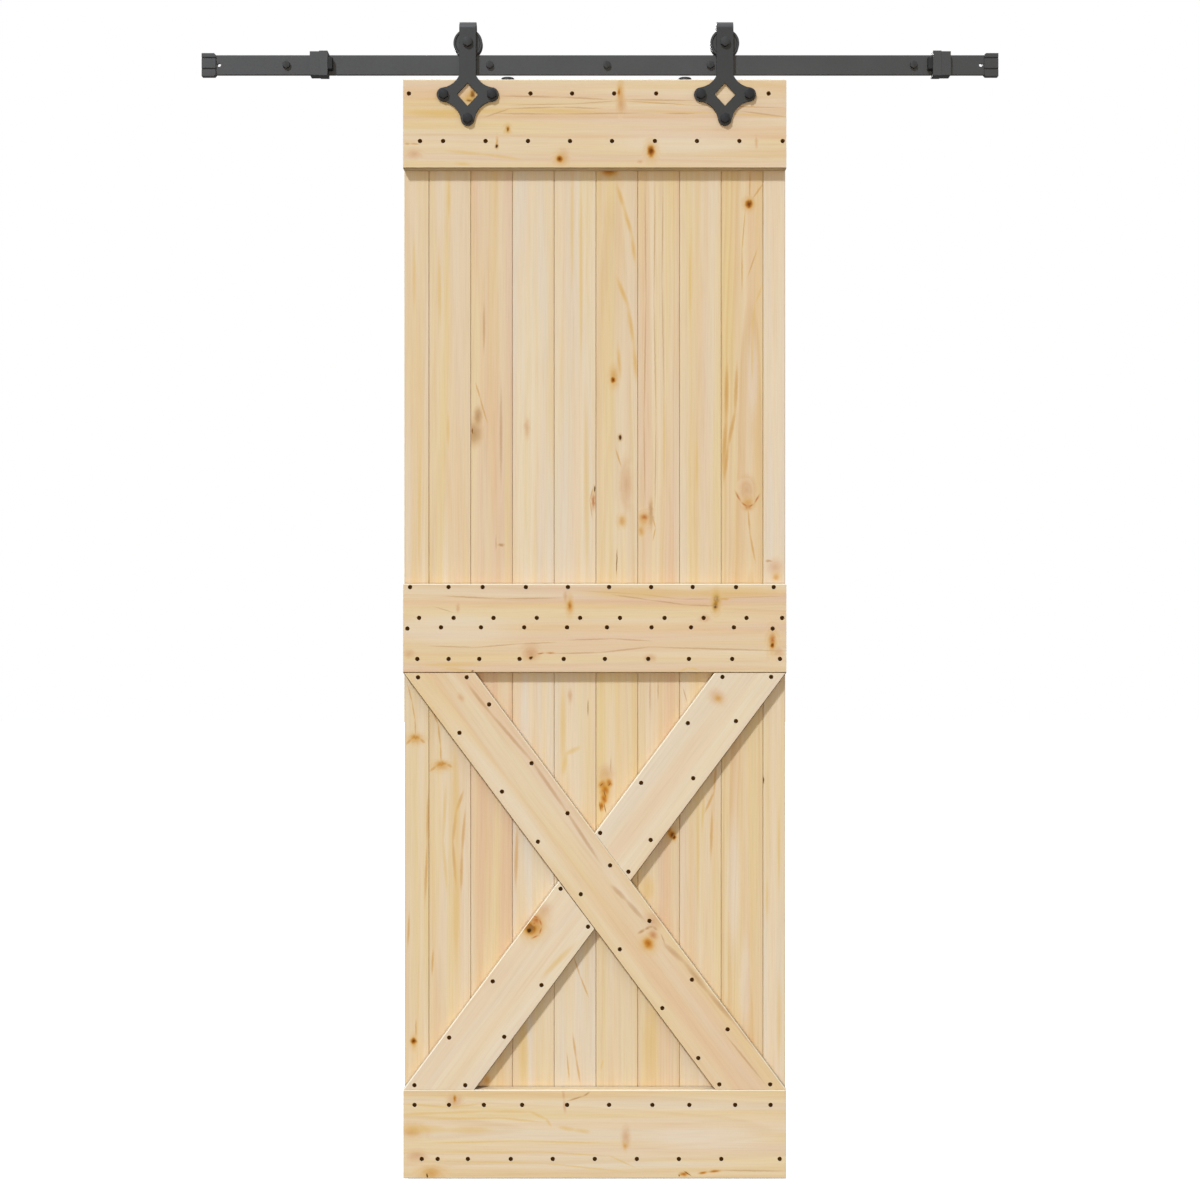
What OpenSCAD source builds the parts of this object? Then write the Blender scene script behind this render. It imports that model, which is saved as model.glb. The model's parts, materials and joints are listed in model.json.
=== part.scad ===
// Sliding barn door of pine planks, boards and braces, hung from a flat steel rail.
// X runs along the rail to the right, Y from the front into the wall, Z up.
// The origin is on the wall's face, at the middle of the rail's length and height.
// All lengths are in millimetres.

/* [Door leaf] */
// Width of the leaf
door_w = 732; // [690:1:860]
// Height of the leaf
door_h = 2100; // [1950:1:2300]
// Thickness of the planks
plank_t = 16; // [14:0.5:22]
// Face width of the ripped plank on the left
first_plank_w = 47.5; // [40:0.5:75]
// Face width of the ripped plank on the right
last_plank_w = 42.5; // [36:0.5:75]
// Open joint between two planks
seam_gap = 0.4; // [0.2:0.1:1]
// Bevel on the front arris of each plank
seam_bevel = 1.2; // [0.5:0.1:3]
// Length of a plank's tongue
tongue_l = 6; // [4:0.5:8]
// Thickness of a plank's tongue
tongue_t = 5; // [4:0.5:6]
// Room around a tongue in its groove
tongue_gap = 0.3; // [0.2:0.05:0.5]

/* [Boards and braces] */
// Height of the top, middle and bottom board
board_w = 170; // [150:1:200]
// Thickness of boards and braces
board_t = 20; // [18:0.5:26]
// Rounding of the front edges of boards and braces
board_round = 2; // [0.5:0.1:4]
// Height of the middle board's centre line above the foot of the door
mid_board_z = 1051.5; // [980:0.5:1120]
// Width of a diagonal brace
brace_w = 109.5; // [90:0.5:130]
// Open joint between a brace and what it butts against
brace_gap = 0.3; // [0.2:0.1:1]

/* [Wood screws] */
// Diameter of a screw head
screw_head_d = 8; // [7:0.1:9]
// Diameter of a screw's core
screw_core_d = 3; // [2.5:0.1:3.4]
// Diameter of the hole that a screw's thread fills
screw_hole_d = 4.2; // [3.8:0.1:4.6]
// Length of a screw
screw_l = 30; // [28:0.5:33]
// Length of a screw's point
screw_tip_l = 4; // [2:0.5:6]
// Room between a screw head and its countersink
screw_seat_gap = 0.3; // [0.2:0.05:0.4]

/* [Hanging] */
// Place of the door's centre line along the rail
door_x = -10; // [-60:1:60]
// Gap between the rail and the top edge of the door
hang_gap = 10.5; // [9:0.5:14]
// Gap between the back of the door and the wall
wall_gap = 10; // [8:0.5:20]

/* [Rail] */
// Length of the flat bar
bar_l = 1520; // [1440:1:1800]
// Height of the flat bar
bar_h = 38; // [34:1:46]
// Thickness of the flat bar
bar_t = 6; // [5:0.5:6.5]
// Rounding of the bar's long edges
bar_round = 1; // [0.4:0.1:2]
// Diameter of the plain hole near each end
end_hole_d = 7; // [6:0.5:10]
// Distance of the plain hole from the bar's end
end_hole_inset = 31; // [30:0.5:60]
// Distance of the outer wall bolts from the bar's ends
outer_bolt_inset = 160; // [150:1:190]
// Distance of the inner wall bolts from the rail's centre
inner_bolt_x = 211; // [190:1:230]
// Place of the middle wall bolt
mid_bolt_x = 13; // [-30:1:30]
// Diameter of a wall bolt's thread
wall_bolt_d = 8; // [7:0.5:9]
// Height of a wall bolt's thread above its plain shank
wall_thread_t = 0.4; // [0.3:0.05:0.6]
// Length of a wall bolt under its head
wall_bolt_l = 50; // [46:1:70]
// Chamfer on a wall bolt's end
wall_bolt_chamfer = 1; // [0.5:0.1:2]
// Width across flats of a wall bolt's head
wall_head_af = 13; // [12:0.5:15]
// Height of a wall bolt's head
wall_head_h = 5.3; // [4:0.1:5.5]
// Room around a wall bolt in the bar and in its spacer
wall_bolt_gap = 0.5; // [0.2:0.1:0.8]
// Outer diameter of a wall spacer
spacer_d = 16; // [14:0.5:22]

/* [End caps] */
// Length of an end cap
cap_l = 27; // [20:0.5:28]
// Thickness of a cap's end wall
cap_end_t = 2; // [1.5:0.1:4]
// Thickness of a cap's walls around the bar
cap_wall = 3; // [2.5:0.1:4]
// Room between a cap and the bar
cap_gap = 0.2; // [0.1:0.05:0.4]
// Chamfer on the corners at a cap's open end
cap_chamfer = 3.2; // [1:0.1:4]
// Width of a groove in a cap's face
cap_groove_w = 3.6; // [2:0.1:4.5]
// Depth of a groove in a cap's face
cap_groove_t = 1.8; // [0.8:0.1:2]
// Height of the upper groove above the cap's centre
cap_groove_up = 13; // [9:0.5:15]
// Depth of the lower groove below the cap's centre
cap_groove_down = 8; // [7:0.5:15]

/* [Stops] */
// Distance of the left stop's centre from the bar's end
left_stop_inset = 223.5; // [200:0.5:260]
// Distance of the right stop's centre from the bar's end
right_stop_inset = 108; // [90:0.5:125]
// Length of a stop along the rail
stop_l = 34; // [28:0.5:40]
// Thickness of a stop above and below the bar
stop_wall = 3.5; // [3:0.1:5]
// Thickness of a stop in front of the bar
stop_front_t = 12; // [11:0.1:15]
// Thickness of a stop behind the bar
stop_back_t = 5; // [4:0.1:8]
// Length of the raised collar on a stop's inner half
stop_collar_l = 16; // [10:0.5:20]
// Height of the raised collar
stop_collar_t = 1; // [0.5:0.1:1.5]
// Room between a stop and the bar
stop_gap = 0.2; // [0.1:0.05:0.4]
// Length by which a bumper stands out of its stop
bumper_l = 9; // [8:0.5:14]
// Depth of a bumper from front to back
bumper_w = 11; // [9:0.5:11.5]
// Height of a bumper
bumper_h = 24; // [18:0.5:30]
// Rounding of a bumper's corners
bumper_round = 3; // [1:0.1:4]
// Diameter of the stem that holds a bumper
bumper_stem_d = 6; // [4:0.5:7]
// Length of the stem that holds a bumper
bumper_stem_l = 8; // [5:0.5:12]
// Room around a bumper's stem
bumper_stem_gap = 0.1; // [0.05:0.05:0.3]
// Diameter of a set screw
set_screw_d = 5; // [4:0.5:6]
// Distance between the two set screws of a stop
set_screw_pitch = 18; // [14:0.5:22]
// Length by which a set screw stands out of its stop
set_screw_out = 1; // [0.5:0.1:3]
// Width across flats of a set screw's socket
set_key_af = 2.5; // [2:0.5:3]
// Depth of a set screw's socket
set_key_t = 2.5; // [1.5:0.1:4]
// Room around a set screw
set_screw_gap = 0.1; // [0.05:0.05:0.2]

/* [Hangers] */
// Distance of a hanger's centre line from the side of the door
hanger_inset = 120.5; // [90:0.5:140]
// Shift of hangers and discs to the right of the door's centre line
hang_shift = 3; // [-10:0.5:10]
// Width of the strap
strap_w = 32; // [28:0.5:36]
// Thickness of the strap
strap_t = 5; // [4:0.1:6]
// Distance of the plate's centre below the door's top edge
plate_drop = 30; // [26:0.5:36]
// Distance of the plate's bolts from its centre
plate_arm = 46; // [43:0.5:48]
// Radius of the plate's lobes
lobe_r = 13.2; // [12.5:0.1:15]
// Distance of the plate's hollow sides from its centre
plate_waist = 34.6; // [33.5:0.1:36]
// Width of the diamond window
window_w = 40.4; // [30:0.1:42]
// Height of the diamond window
window_h = 43.6; // [30:0.1:45]
// Diameter of the hanger and axle bolts
bolt_d = 10; // [8:0.5:10.5]
// Room around a bolt
bolt_gap = 0.3; // [0.2:0.05:0.5]
// Width across flats of a bolt head and of an axle nut
bolt_head_af = 17; // [15:0.5:18]
// Height of a bolt head
bolt_head_h = 6.4; // [5:0.1:8]
// Height of an axle nut
axle_nut_h = 8.4; // [6:0.1:10]
// Length by which an axle bolt stands out of its nut
axle_out = 3; // [1:0.5:4]
// Diameter of a sleeve nut's barrel
sleeve_d = 13; // [12.5:0.5:15]
// Length of a sleeve nut's barrel
sleeve_l = 16; // [14.5:0.5:20]
// Diameter of a sleeve nut's flange
sleeve_flange_d = 20; // [17:0.5:24]
// Thickness of a sleeve nut's flange
sleeve_flange_t = 2.5; // [2:0.1:4]
// Depth of the threaded bore in a sleeve nut
sleeve_bore_l = 14; // [12.5:0.5:14]
// Length of bolt that a sleeve nut grips
sleeve_grip_l = 12; // [8:0.5:12.5]
// Width across flats of a sleeve nut's socket
sleeve_key_af = 6; // [5:0.5:8]
// Depth of a sleeve nut's socket
sleeve_key_t = 2.5; // [2:0.1:3]
// Room between a bolt and the thread of its nut
thread_gap = 0.05; // [0.02:0.01:0.1]

/* [Wheels] */
// Diameter over the wheel's flanges
wheel_d = 55.4; // [53:0.1:58]
// Width of a wheel
wheel_w = 18; // [17:0.5:20]
// Room between a wheel and the strap on each side
wheel_side_gap = 1; // [0.8:0.1:2]
// Diameter at the bottom of the running groove
groove_d = 42; // [40:0.5:44]
// Width of the running groove at its bottom
groove_w = 7; // [6.8:0.1:8]
// Widening of the running groove on each side
groove_flare = 1; // [0.2:0.1:1.5]
// Room between the running groove and the rail
roll_gap = 0.3; // [0.2:0.05:0.5]
// Chamfer on a wheel's rims
rim_chamfer = 1; // [0.4:0.1:2]
// Inner diameter of the hollow in a wheel's side
dish_in_d = 31; // [30:0.5:34]
// Outer diameter of the hollow in a wheel's side
dish_out_d = 48; // [44:0.5:49]
// Depth of the hollow in a wheel's side
dish_t = 1.5; // [0.5:0.1:2.5]
// Distance of the strap's bend centre below the top of the wheel
bend_dip = 1; // [0:0.1:3]
// Outer diameter of an axle bush
bush_d = 14; // [13:0.5:15]

/* [Bearings] */
// Outer diameter of a bearing
brg_d = 26; // [25:0.5:28]
// Width of a bearing
brg_w = 8; // [7:0.5:9]
// Outer diameter of the inner race
inner_race_d = 15.2; // [15:0.1:16]
// Inner diameter of the outer race
outer_race_d = 20.8; // [20:0.1:21.5]
// Diameter of a ball
ball_d = 4.7; // [4.2:0.1:4.8]
// Room between balls and races
race_gap = 0.06; // [0.02:0.01:0.1]
// Room between a ball and its pocket in the cage
pocket_gap = 0.15; // [0.1:0.01:0.2]
// Radial thickness of the ball cage
cage_t = 1.6; // [1.2:0.1:1.8]
// Height of the ball cage
cage_h = 2.2; // [1.8:0.1:2.4]
// Thickness of the cage's back behind a ball
cage_back_t = 0.5; // [0.4:0.05:0.6]
// Thickness of a bearing shield
shield_t = 0.4; // [0.3:0.05:0.5]
// Depth of a shield behind the bearing's face
shield_in = 0.2; // [0.1:0.05:0.3]
// Room between a shield and the races
shield_gap = 0.2; // [0.1:0.05:0.4]
// Room between a bearing and its seats
seat_gap = 0.03; // [0.01:0.01:0.05]
// Diameter of the shoulder that carries a bearing
shoulder_d = 22; // [21.5:0.5:23.5]
// Thickness of a retaining ring
clip_t = 1.2; // [1:0.1:1.5]
// Radial width of a retaining ring
clip_w = 2.4; // [2:0.1:3]
// Depth of a retaining ring's groove
clip_groove_t = 0.8; // [0.5:0.1:1.1]
// Room around a retaining ring in its groove
clip_gap = 0.1; // [0.05:0.05:0.2]
// Opening of a retaining ring
clip_open = 8; // [6:0.5:10]

/* [Anti-jump discs] */
// Distance of a disc's screw from the side of the door
disc_inset = 196; // [190:1:230]
// Diameter of a disc
disc_d = 25; // [22:0.5:28]
// Thickness of a disc
disc_t = 6.5; // [4:0.1:7]
// Distance of a disc's centre from its screw
disc_offset = 6; // [4:0.5:7]
// Distance of a disc's screw from the front of the boards
disc_screw_in = 11; // [10:0.5:14]
// Chamfer on a disc's upper edge
disc_chamfer = 0.6; // [0.2:0.1:1.5]

/* [Hidden] */
$fn = 48;
overrun = 1;

pine = "#E3CDA6";
powder_coat = "#4B4B4C";
black_oxide = "#2B2B2C";
zinc = "#B9BCBF";
moulded_black = "#1E1E1F";

// Depths from the wall's face to the front
back_y = -wall_gap;
plank_y = back_y - plank_t;
board_y = plank_y - board_t;
strap_y = board_y - strap_t;
leg_gap = wheel_w + 2 * wheel_side_gap;
rail_y = board_y + leg_gap / 2;
bar_front_y = rail_y - bar_t / 2;
bar_back_y = rail_y + bar_t / 2;
back_leg_y = board_y + leg_gap;
stop_y = bar_front_y - stop_front_t;

// Heights from the rail's centre line
axle_z = bar_h / 2 + roll_gap + groove_d / 2;
bend_z = axle_z + wheel_d / 2 - bend_dip;
top_z = -bar_h / 2 - hang_gap;
foot_z = top_z - door_h;
plate_z = top_z - plate_drop;
top_board_z = top_z - board_w;
mid_board_foot_z = foot_z + mid_board_z - board_w / 2;
field_top_z = mid_board_foot_z;
field_foot_z = foot_z + board_w;

// Planks, from left to right about the door's centre line
plank_count = 10;
plank_cover = (door_w - first_plank_w - last_plank_w) / (plank_count - 2);
function plank_x(i) = i == 0 ? -door_w / 2 : -door_w / 2 + first_plank_w + (i - 1) * plank_cover;
function plank_w(i) = i == 0 ? first_plank_w : i == plank_count - 1 ? last_plank_w : plank_cover;

// Braces fill the lower field from corner to corner
field_h = field_top_z - field_foot_z;
brace_angle = atan2(field_h, door_w) + asin(brace_w / sqrt(door_w * door_w + field_h * field_h));
brace_end_w = brace_w / sin(brace_angle);
brace_run = door_w - brace_end_w;
brace_bar_l = door_w + field_h;
field_mid_z = (field_top_z + field_foot_z) / 2;

// Screw rows on a board: share of its height from the top, then plank number and share of its width
top_row_shares = [
    [0.16, [[0, 0.23], [3, 0.44], [4, 0.43], [5, 0.43], [6, 0.43], [9, 0.20]]],
    [0.694, [[0, 0.68], [1, 0.36], [2, 0.37], [3, 0.38], [4, 0.38], [5, 0.38], [6, 0.40], [7, 0.40],
            [8, 0.41], [9, 0.83]]],
];
mid_row_shares = [
    [0.038, [[0, 0.28], [1, 0.49], [2, 0.30], [3, 0.33], [4, 0.33], [5, 0.31], [6, 0.31], [7, 0.30],
            [8, 0.33], [9, 0.43]]],
    [0.384, [[0, 0.64], [1, 0.61], [2, 0.56], [3, 0.59], [4, 0.62], [5, 0.57], [6, 0.63], [7, 0.56],
            [8, 0.58], [9, 0.81]]],
    [0.49, [[1, 0.31], [2, 0.26], [3, 0.29], [4, 0.31], [5, 0.26], [6, 0.32], [7, 0.26], [8, 0.28]]],
    [0.504, [[0, 0.17], [9, 0.38]]],
    [0.845, [[0, 0.57], [1, 0.49], [2, 0.22], [3, 0.18], [4, 0.23], [5, 0.21], [6, 0.24], [7, 0.21],
            [8, 0.24], [9, 0.71]]],
];
bottom_row_shares = [
    [0.17, [[0, 0.46], [1, 0.50], [2, 0.33], [3, 0.24], [4, 0.31], [5, 0.31], [6, 0.34], [7, 0.22],
            [8, 0.31], [9, 0.29]]],
    [0.777, [[0, 0.75], [1, 0.23], [1, 0.95], [2, 0.97], [3, 0.97], [4, 0.97], [5, 0.97], [6, 0.97],
            [7, 0.98], [9, 0.70]]],
];
// Screws on a brace: share of the field's height from the top, share of the brace's width from the left
long_brace_shares = [
    [0.011, 0.16], [0.144, 0.16], [0.285, 0.14], [0.405, 0.12], [0.531, 0.17], [0.663, 0.14],
    [0.804, 0.12], [0.924, 0.10], [0.987, 0.12], [0.011, 0.84], [0.076, 0.87], [0.217, 0.85],
    [0.337, 0.83], [0.462, 0.88], [0.595, 0.85], [0.736, 0.83], [0.855, 0.81], [0.987, 0.83],
];
upper_half_shares = [
    [0.010, 0.15], [0.121, 0.15], [0.264, 0.12], [0.384, 0.07], [0.010, 0.83], [0.116, 0.80],
    [0.253, 0.80], [0.401, 0.85], [0.477, 0.87],
];
lower_half_shares = [
    [0.518, 0.10], [0.740, 0.12], [0.875, 0.10], [0.989, 0.11], [0.609, 0.88], [0.749, 0.84],
    [0.873, 0.86], [0.989, 0.82],
];

function row_points(rows, z0) = [for (r = rows, s = r[1])
    [plank_x(s[0]) + s[1] * plank_w(s[0]), z0 + (1 - r[0]) * board_w]];
function falling_points(shares) = [for (s = shares)
    [-door_w / 2 + s[0] * brace_run + s[1] * brace_end_w, field_top_z - s[0] * field_h]];
function rising_points(shares) = [for (s = shares)
    [door_w / 2 - brace_end_w - s[0] * brace_run + s[1] * brace_end_w, field_top_z - s[0] * field_h]];

top_screw_points = row_points(top_row_shares, top_board_z);
mid_screw_points = row_points(mid_row_shares, mid_board_foot_z);
bottom_screw_points = row_points(bottom_row_shares, foot_z);
long_screw_points = falling_points(long_brace_shares);
upper_screw_points = rising_points(upper_half_shares);
lower_screw_points = rising_points(lower_half_shares);
leaf_screw_points = concat(top_screw_points, mid_screw_points, bottom_screw_points, long_screw_points,
                           upper_screw_points, lower_screw_points);

// Hangers, their bolts and the discs, about the door's centre line
function hanger_at(side) = hang_shift + side * (door_w / 2 - hanger_inset);
function disc_at(side) = hang_shift + side * (door_w / 2 - disc_inset);
hanger_bolt_points = [for (s = [-1, 1], o = [[-plate_arm, 0], [plate_arm, 0], [0, -plate_arm]])
    [hanger_at(s) + o[0], plate_z + o[1]]];
disc_screw_y = board_y + disc_screw_in;
hollow_r = (lobe_r * lobe_r - plate_arm * plate_arm - plate_waist * plate_waist
            + sqrt(2) * plate_arm * plate_waist)
           / (2 * plate_waist - sqrt(2) * plate_arm - 2 * lobe_r);
hollow_c = (plate_waist + hollow_r) / sqrt(2);
lobe_turn = atan2(hollow_c, hollow_c - plate_arm);
lobe_touch_x = plate_arm + lobe_r * cos(lobe_turn);
lobe_touch_z = lobe_r * sin(lobe_turn);

// Wall bolts and stops along the rail
outer_bolt_x = bar_l / 2 - outer_bolt_inset;
wall_bolt_xs = [-outer_bolt_x, -inner_bolt_x, mid_bolt_x, inner_bolt_x, outer_bolt_x];
left_stop_x = -bar_l / 2 + left_stop_inset;
right_stop_x = bar_l / 2 - right_stop_inset;
bumper_y = stop_y + bumper_w / 2;
wall_shank_l = -bar_front_y;
cap_out_x = bar_l / 2 + cap_end_t;
cap_in_x = cap_out_x - cap_l;
cap_half_h = bar_h / 2 + cap_wall;

// Bearings
ball_count = 7;
ball_pitch_d = (inner_race_d + outer_race_d) / 2;
brg_bore = bolt_d + 2 * seat_gap;
cage_z = ball_d / 2 + pocket_gap + cage_back_t - cage_h;
head_cone_share = 0.95;

// One side of a wheel, from its hub over the rim to the bottom of the groove
function wheel_side(s) = [
    [dish_in_d / 2, s * wheel_w / 2], [dish_in_d / 2 + dish_t, s * (wheel_w / 2 - dish_t)],
    [dish_out_d / 2 - dish_t, s * (wheel_w / 2 - dish_t)], [dish_out_d / 2, s * wheel_w / 2],
    [wheel_d / 2 - rim_chamfer, s * wheel_w / 2], [wheel_d / 2, s * (wheel_w / 2 - rim_chamfer)],
    [wheel_d / 2, s * (groove_w / 2 + groove_flare)], [groove_d / 2, s * groove_w / 2]];

function reversed(points) = [for (i = [len(points) - 1:-1:0]) points[i]];

// Bore of a wheel, from the shoulder over the bearing's seat and the ring's groove to the other side
bore_points = [
    [shoulder_d / 2, wheel_w / 2], [shoulder_d / 2, brg_w / 2], [brg_d / 2 + seat_gap, brg_w / 2],
    [brg_d / 2 + seat_gap, -brg_w / 2], [brg_d / 2 + clip_groove_t, -brg_w / 2],
    [brg_d / 2 + clip_groove_t, -brg_w / 2 - clip_t - 2 * clip_gap],
    [brg_d / 2 + seat_gap, -brg_w / 2 - clip_t - 2 * clip_gap], [brg_d / 2 + seat_gap, -wheel_w / 2]];

// Shared forms

module along_x(l) translate([-l / 2, 0, 0]) rotate([90, 0, 90]) linear_extrude(l) children();

module upright(y, t) translate([0, y + t, 0]) rotate([90, 0, 0]) linear_extrude(t) children();

module into_wall(x, y, z) translate([x, y, z]) rotate([-90, 0, 0]) children();

module leaf() translate([door_x, 0, 0]) children();

module on_axle(side) translate([door_x + hanger_at(side), rail_y, axle_z]) rotate([-90, 0, 0]) children();

module box_profile(w, h, r) {
    translate([r, 0]) square([w - 2 * r, h]);
    translate([0, r]) square([w, h - 2 * r]);
    for (x = [r, w - r], y = [r, h - r]) translate([x, y]) circle(r);
}

module eased_profile(w, h, r) {
    translate([r, 0]) square([w - r, h]);
    translate([0, r]) square([w, h - 2 * r]);
    for (y = [r, h - r]) translate([r, y]) circle(r);
}

module hex_head(af, h) translate([0, 0, -h]) intersection() {
    cylinder(d = af / cos(30), h = h, $fn = 6);
    cylinder(r1 = head_cone_share * af / 2, r2 = head_cone_share * af / 2 + h * tan(60), h = h);
}

module wood_screw() rotate_extrude() polygon([
    [0, 0], [screw_head_d / 2, 0], [screw_core_d / 2, (screw_head_d - screw_core_d) / 2],
    [screw_core_d / 2, screw_l - screw_tip_l], [0, screw_l]]);

module wood_screw_hole() {
    head_r = screw_head_d / 2 + screw_seat_gap;
    end_l = screw_l + screw_seat_gap;
    rotate_extrude() polygon([
        [0, -overrun], [head_r, -overrun], [head_r, 0], [screw_hole_d / 2, head_r - screw_hole_d / 2],
        [screw_hole_d / 2, end_l], [0, end_l]]);
}

module leaf_screws(points) leaf() for (p = points) into_wall(p[0], board_y, p[1]) wood_screw();

// Cuts a piece of the leaf for the screws and bolts that meet its span
module drilled(x0, x1, points) difference() {
    children();
    for (p = points) if (p[0] > x0 - screw_head_d && p[0] < x1 + screw_head_d)
        into_wall(p[0], board_y, p[1]) wood_screw_hole();
    for (p = hanger_bolt_points) if (p[0] > x0 - sleeve_d && p[0] < x1 + sleeve_d) {
        into_wall(p[0], board_y - overrun, p[1])
            cylinder(d = bolt_d + 2 * bolt_gap, h = board_t + plank_t + 2 * overrun);
        into_wall(p[0], back_y - sleeve_l - bolt_gap, p[1])
            cylinder(d = sleeve_d + 2 * bolt_gap, h = sleeve_l + bolt_gap + overrun);
    }
}

// Leaf

module plank_profile(w, grooved, tongued) {
    left = grooved ? seam_gap / 2 : 0;
    right = tongued ? w - seam_gap / 2 : w;
    difference() {
        polygon([[left, plank_t], [left, seam_bevel], [left + seam_bevel, 0], [right - seam_bevel, 0],
                 [right, seam_bevel], [right, plank_t]]);
        if (grooved)
            translate([left - overrun, (plank_t - tongue_t) / 2 - tongue_gap])
                square([tongue_l + tongue_gap + overrun, tongue_t + 2 * tongue_gap]);
    }
    if (tongued)
        translate([right - tongue_l, (plank_t - tongue_t) / 2])
            square([2 * tongue_l - seam_gap, tongue_t]);
}

module plank(i) color(pine) leaf()
    drilled(plank_x(i) - tongue_l, plank_x(i) + plank_w(i) + tongue_l, leaf_screw_points)
        translate([plank_x(i), plank_y, foot_z]) linear_extrude(door_h)
            plank_profile(plank_w(i), i > 0, i < plank_count - 1);

module board(z, points) color(pine) leaf() drilled(-door_w / 2, door_w / 2, points) intersection() {
    along_x(door_w) translate([board_y, z]) eased_profile(board_t, board_w, board_round);
    translate([-door_w / 2, board_y + board_t, z - overrun]) linear_extrude(board_w + 2 * overrun)
        rotate(-90) eased_profile(board_t, door_w, board_round);
}

// Bar of brace section across the lower field, falling to the right for side 1
module brace_bar(side, w, r, front, t) translate([0, 0, field_mid_z]) rotate([0, side * brace_angle, 0])
    along_x(brace_bar_l) translate([front, -w / 2]) eased_profile(t, w, r);

module field_block(z0, z1) translate([-door_w / 2, board_y - overrun, z0])
    cube([door_w, board_t + 2 * overrun, z1 - z0]);

module brace_stock(side) brace_bar(side, brace_w, board_round, board_y, board_t);

module half_brace(z0, z1, points) color(pine) leaf() drilled(-door_w / 2, door_w / 2, points) difference() {
    intersection() {
        brace_stock(-1);
        field_block(z0, z1);
    }
    brace_bar(1, brace_w + 2 * brace_gap, brace_gap, board_y - overrun, board_t + 2 * overrun);
}

module plank_01() plank(0);
module plank_02() plank(1);
module plank_03() plank(2);
module plank_04() plank(3);
module plank_05() plank(4);
module plank_06() plank(5);
module plank_07() plank(6);
module plank_08() plank(7);
module plank_09() plank(8);
module plank_10() plank(9);

module top_board() difference() {
    board(top_board_z, top_screw_points);
    leaf() for (s = [-1, 1]) translate([disc_at(s), disc_screw_y, top_z + disc_t]) mirror([0, 0, 1])
        wood_screw_hole();
}

module middle_board() board(mid_board_foot_z, mid_screw_points);

module bottom_board() board(foot_z, bottom_screw_points);

module long_brace() color(pine) leaf() drilled(-door_w / 2, door_w / 2, long_screw_points) intersection() {
    brace_stock(1);
    field_block(field_foot_z + brace_gap, field_top_z - brace_gap);
}

module upper_half_brace() half_brace(field_mid_z, field_top_z - brace_gap, upper_screw_points);

module lower_half_brace() half_brace(field_foot_z + brace_gap, field_mid_z, lower_screw_points);

module top_board_screws() color(black_oxide) leaf_screws(top_screw_points);

module middle_board_screws() color(black_oxide) leaf_screws(mid_screw_points);

module bottom_board_screws() color(black_oxide) leaf_screws(bottom_screw_points);

module brace_screws() color(black_oxide)
    leaf_screws(concat(long_screw_points, upper_screw_points, lower_screw_points));

// Hangers

module plate_outline() {
    difference() {
        polygon([for (a = [0, 90, 180, 270], s = [-1, 1])
            [lobe_touch_x * cos(a) - s * lobe_touch_z * sin(a),
             lobe_touch_x * sin(a) + s * lobe_touch_z * cos(a)]]);
        for (a = [0, 90, 180, 270]) rotate(a) translate([hollow_c, hollow_c]) circle(hollow_r);
    }
    for (a = [180, 270, 0]) rotate(a) translate([plate_arm, 0]) circle(lobe_r);
}

module hanger(side) color(powder_coat) leaf() translate([hanger_at(side), 0, 0]) difference() {
    union() {
        upright(strap_y, strap_t) translate([0, plate_z]) difference() {
            union() {
                plate_outline();
                translate([-strap_w / 2, 0]) square([strap_w, bend_z - plate_z]);
            }
            polygon([[-window_w / 2, 0], [0, -window_h / 2], [window_w / 2, 0], [0, window_h / 2]]);
        }
        along_x(strap_w) translate([rail_y, bend_z]) difference() {
            circle(leg_gap / 2 + strap_t);
            circle(leg_gap / 2);
            translate([-leg_gap, -2 * leg_gap]) square([2 * leg_gap, 2 * leg_gap]);
        }
        upright(back_leg_y, strap_t) {
            translate([-strap_w / 2, axle_z]) square([strap_w, bend_z - axle_z]);
            translate([0, axle_z]) circle(strap_w / 2);
        }
    }
    into_wall(0, strap_y - overrun, axle_z)
        cylinder(d = bolt_d + 2 * bolt_gap, h = leg_gap + 2 * strap_t + 2 * overrun);
    for (o = [[-plate_arm, 0], [plate_arm, 0], [0, -plate_arm]])
        into_wall(o[0], strap_y - overrun, plate_z + o[1])
            cylinder(d = bolt_d + 2 * bolt_gap, h = strap_t + 2 * overrun);
}

module left_hanger() hanger(-1);

module right_hanger() hanger(1);

module hex_bolt(l) {
    hex_head(bolt_head_af, bolt_head_h);
    cylinder(d = bolt_d, h = l);
}

module hanger_bolts() color(black_oxide) leaf() for (p = hanger_bolt_points)
    into_wall(p[0], strap_y, p[1]) hex_bolt(back_y - sleeve_l + sleeve_grip_l - strap_y);

module hanger_nuts() color(zinc) leaf() for (p = hanger_bolt_points)
    into_wall(p[0], back_y, p[1]) difference() {
        union() {
            cylinder(d = sleeve_flange_d, h = sleeve_flange_t);
            translate([0, 0, -sleeve_l]) cylinder(d = sleeve_d, h = sleeve_l + sleeve_flange_t / 2);
        }
        translate([0, 0, -sleeve_l - overrun])
            cylinder(d = bolt_d + 2 * thread_gap, h = sleeve_bore_l + overrun);
        translate([0, 0, sleeve_flange_t - sleeve_key_t])
            cylinder(d = sleeve_key_af / cos(30), h = sleeve_key_t + overrun, $fn = 6);
    }

module axle_bolt(side) color(black_oxide) leaf() into_wall(hanger_at(side), strap_y, axle_z)
    hex_bolt(leg_gap + 2 * strap_t + axle_nut_h + axle_out);

module left_axle_bolt() axle_bolt(-1);

module right_axle_bolt() axle_bolt(1);

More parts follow.
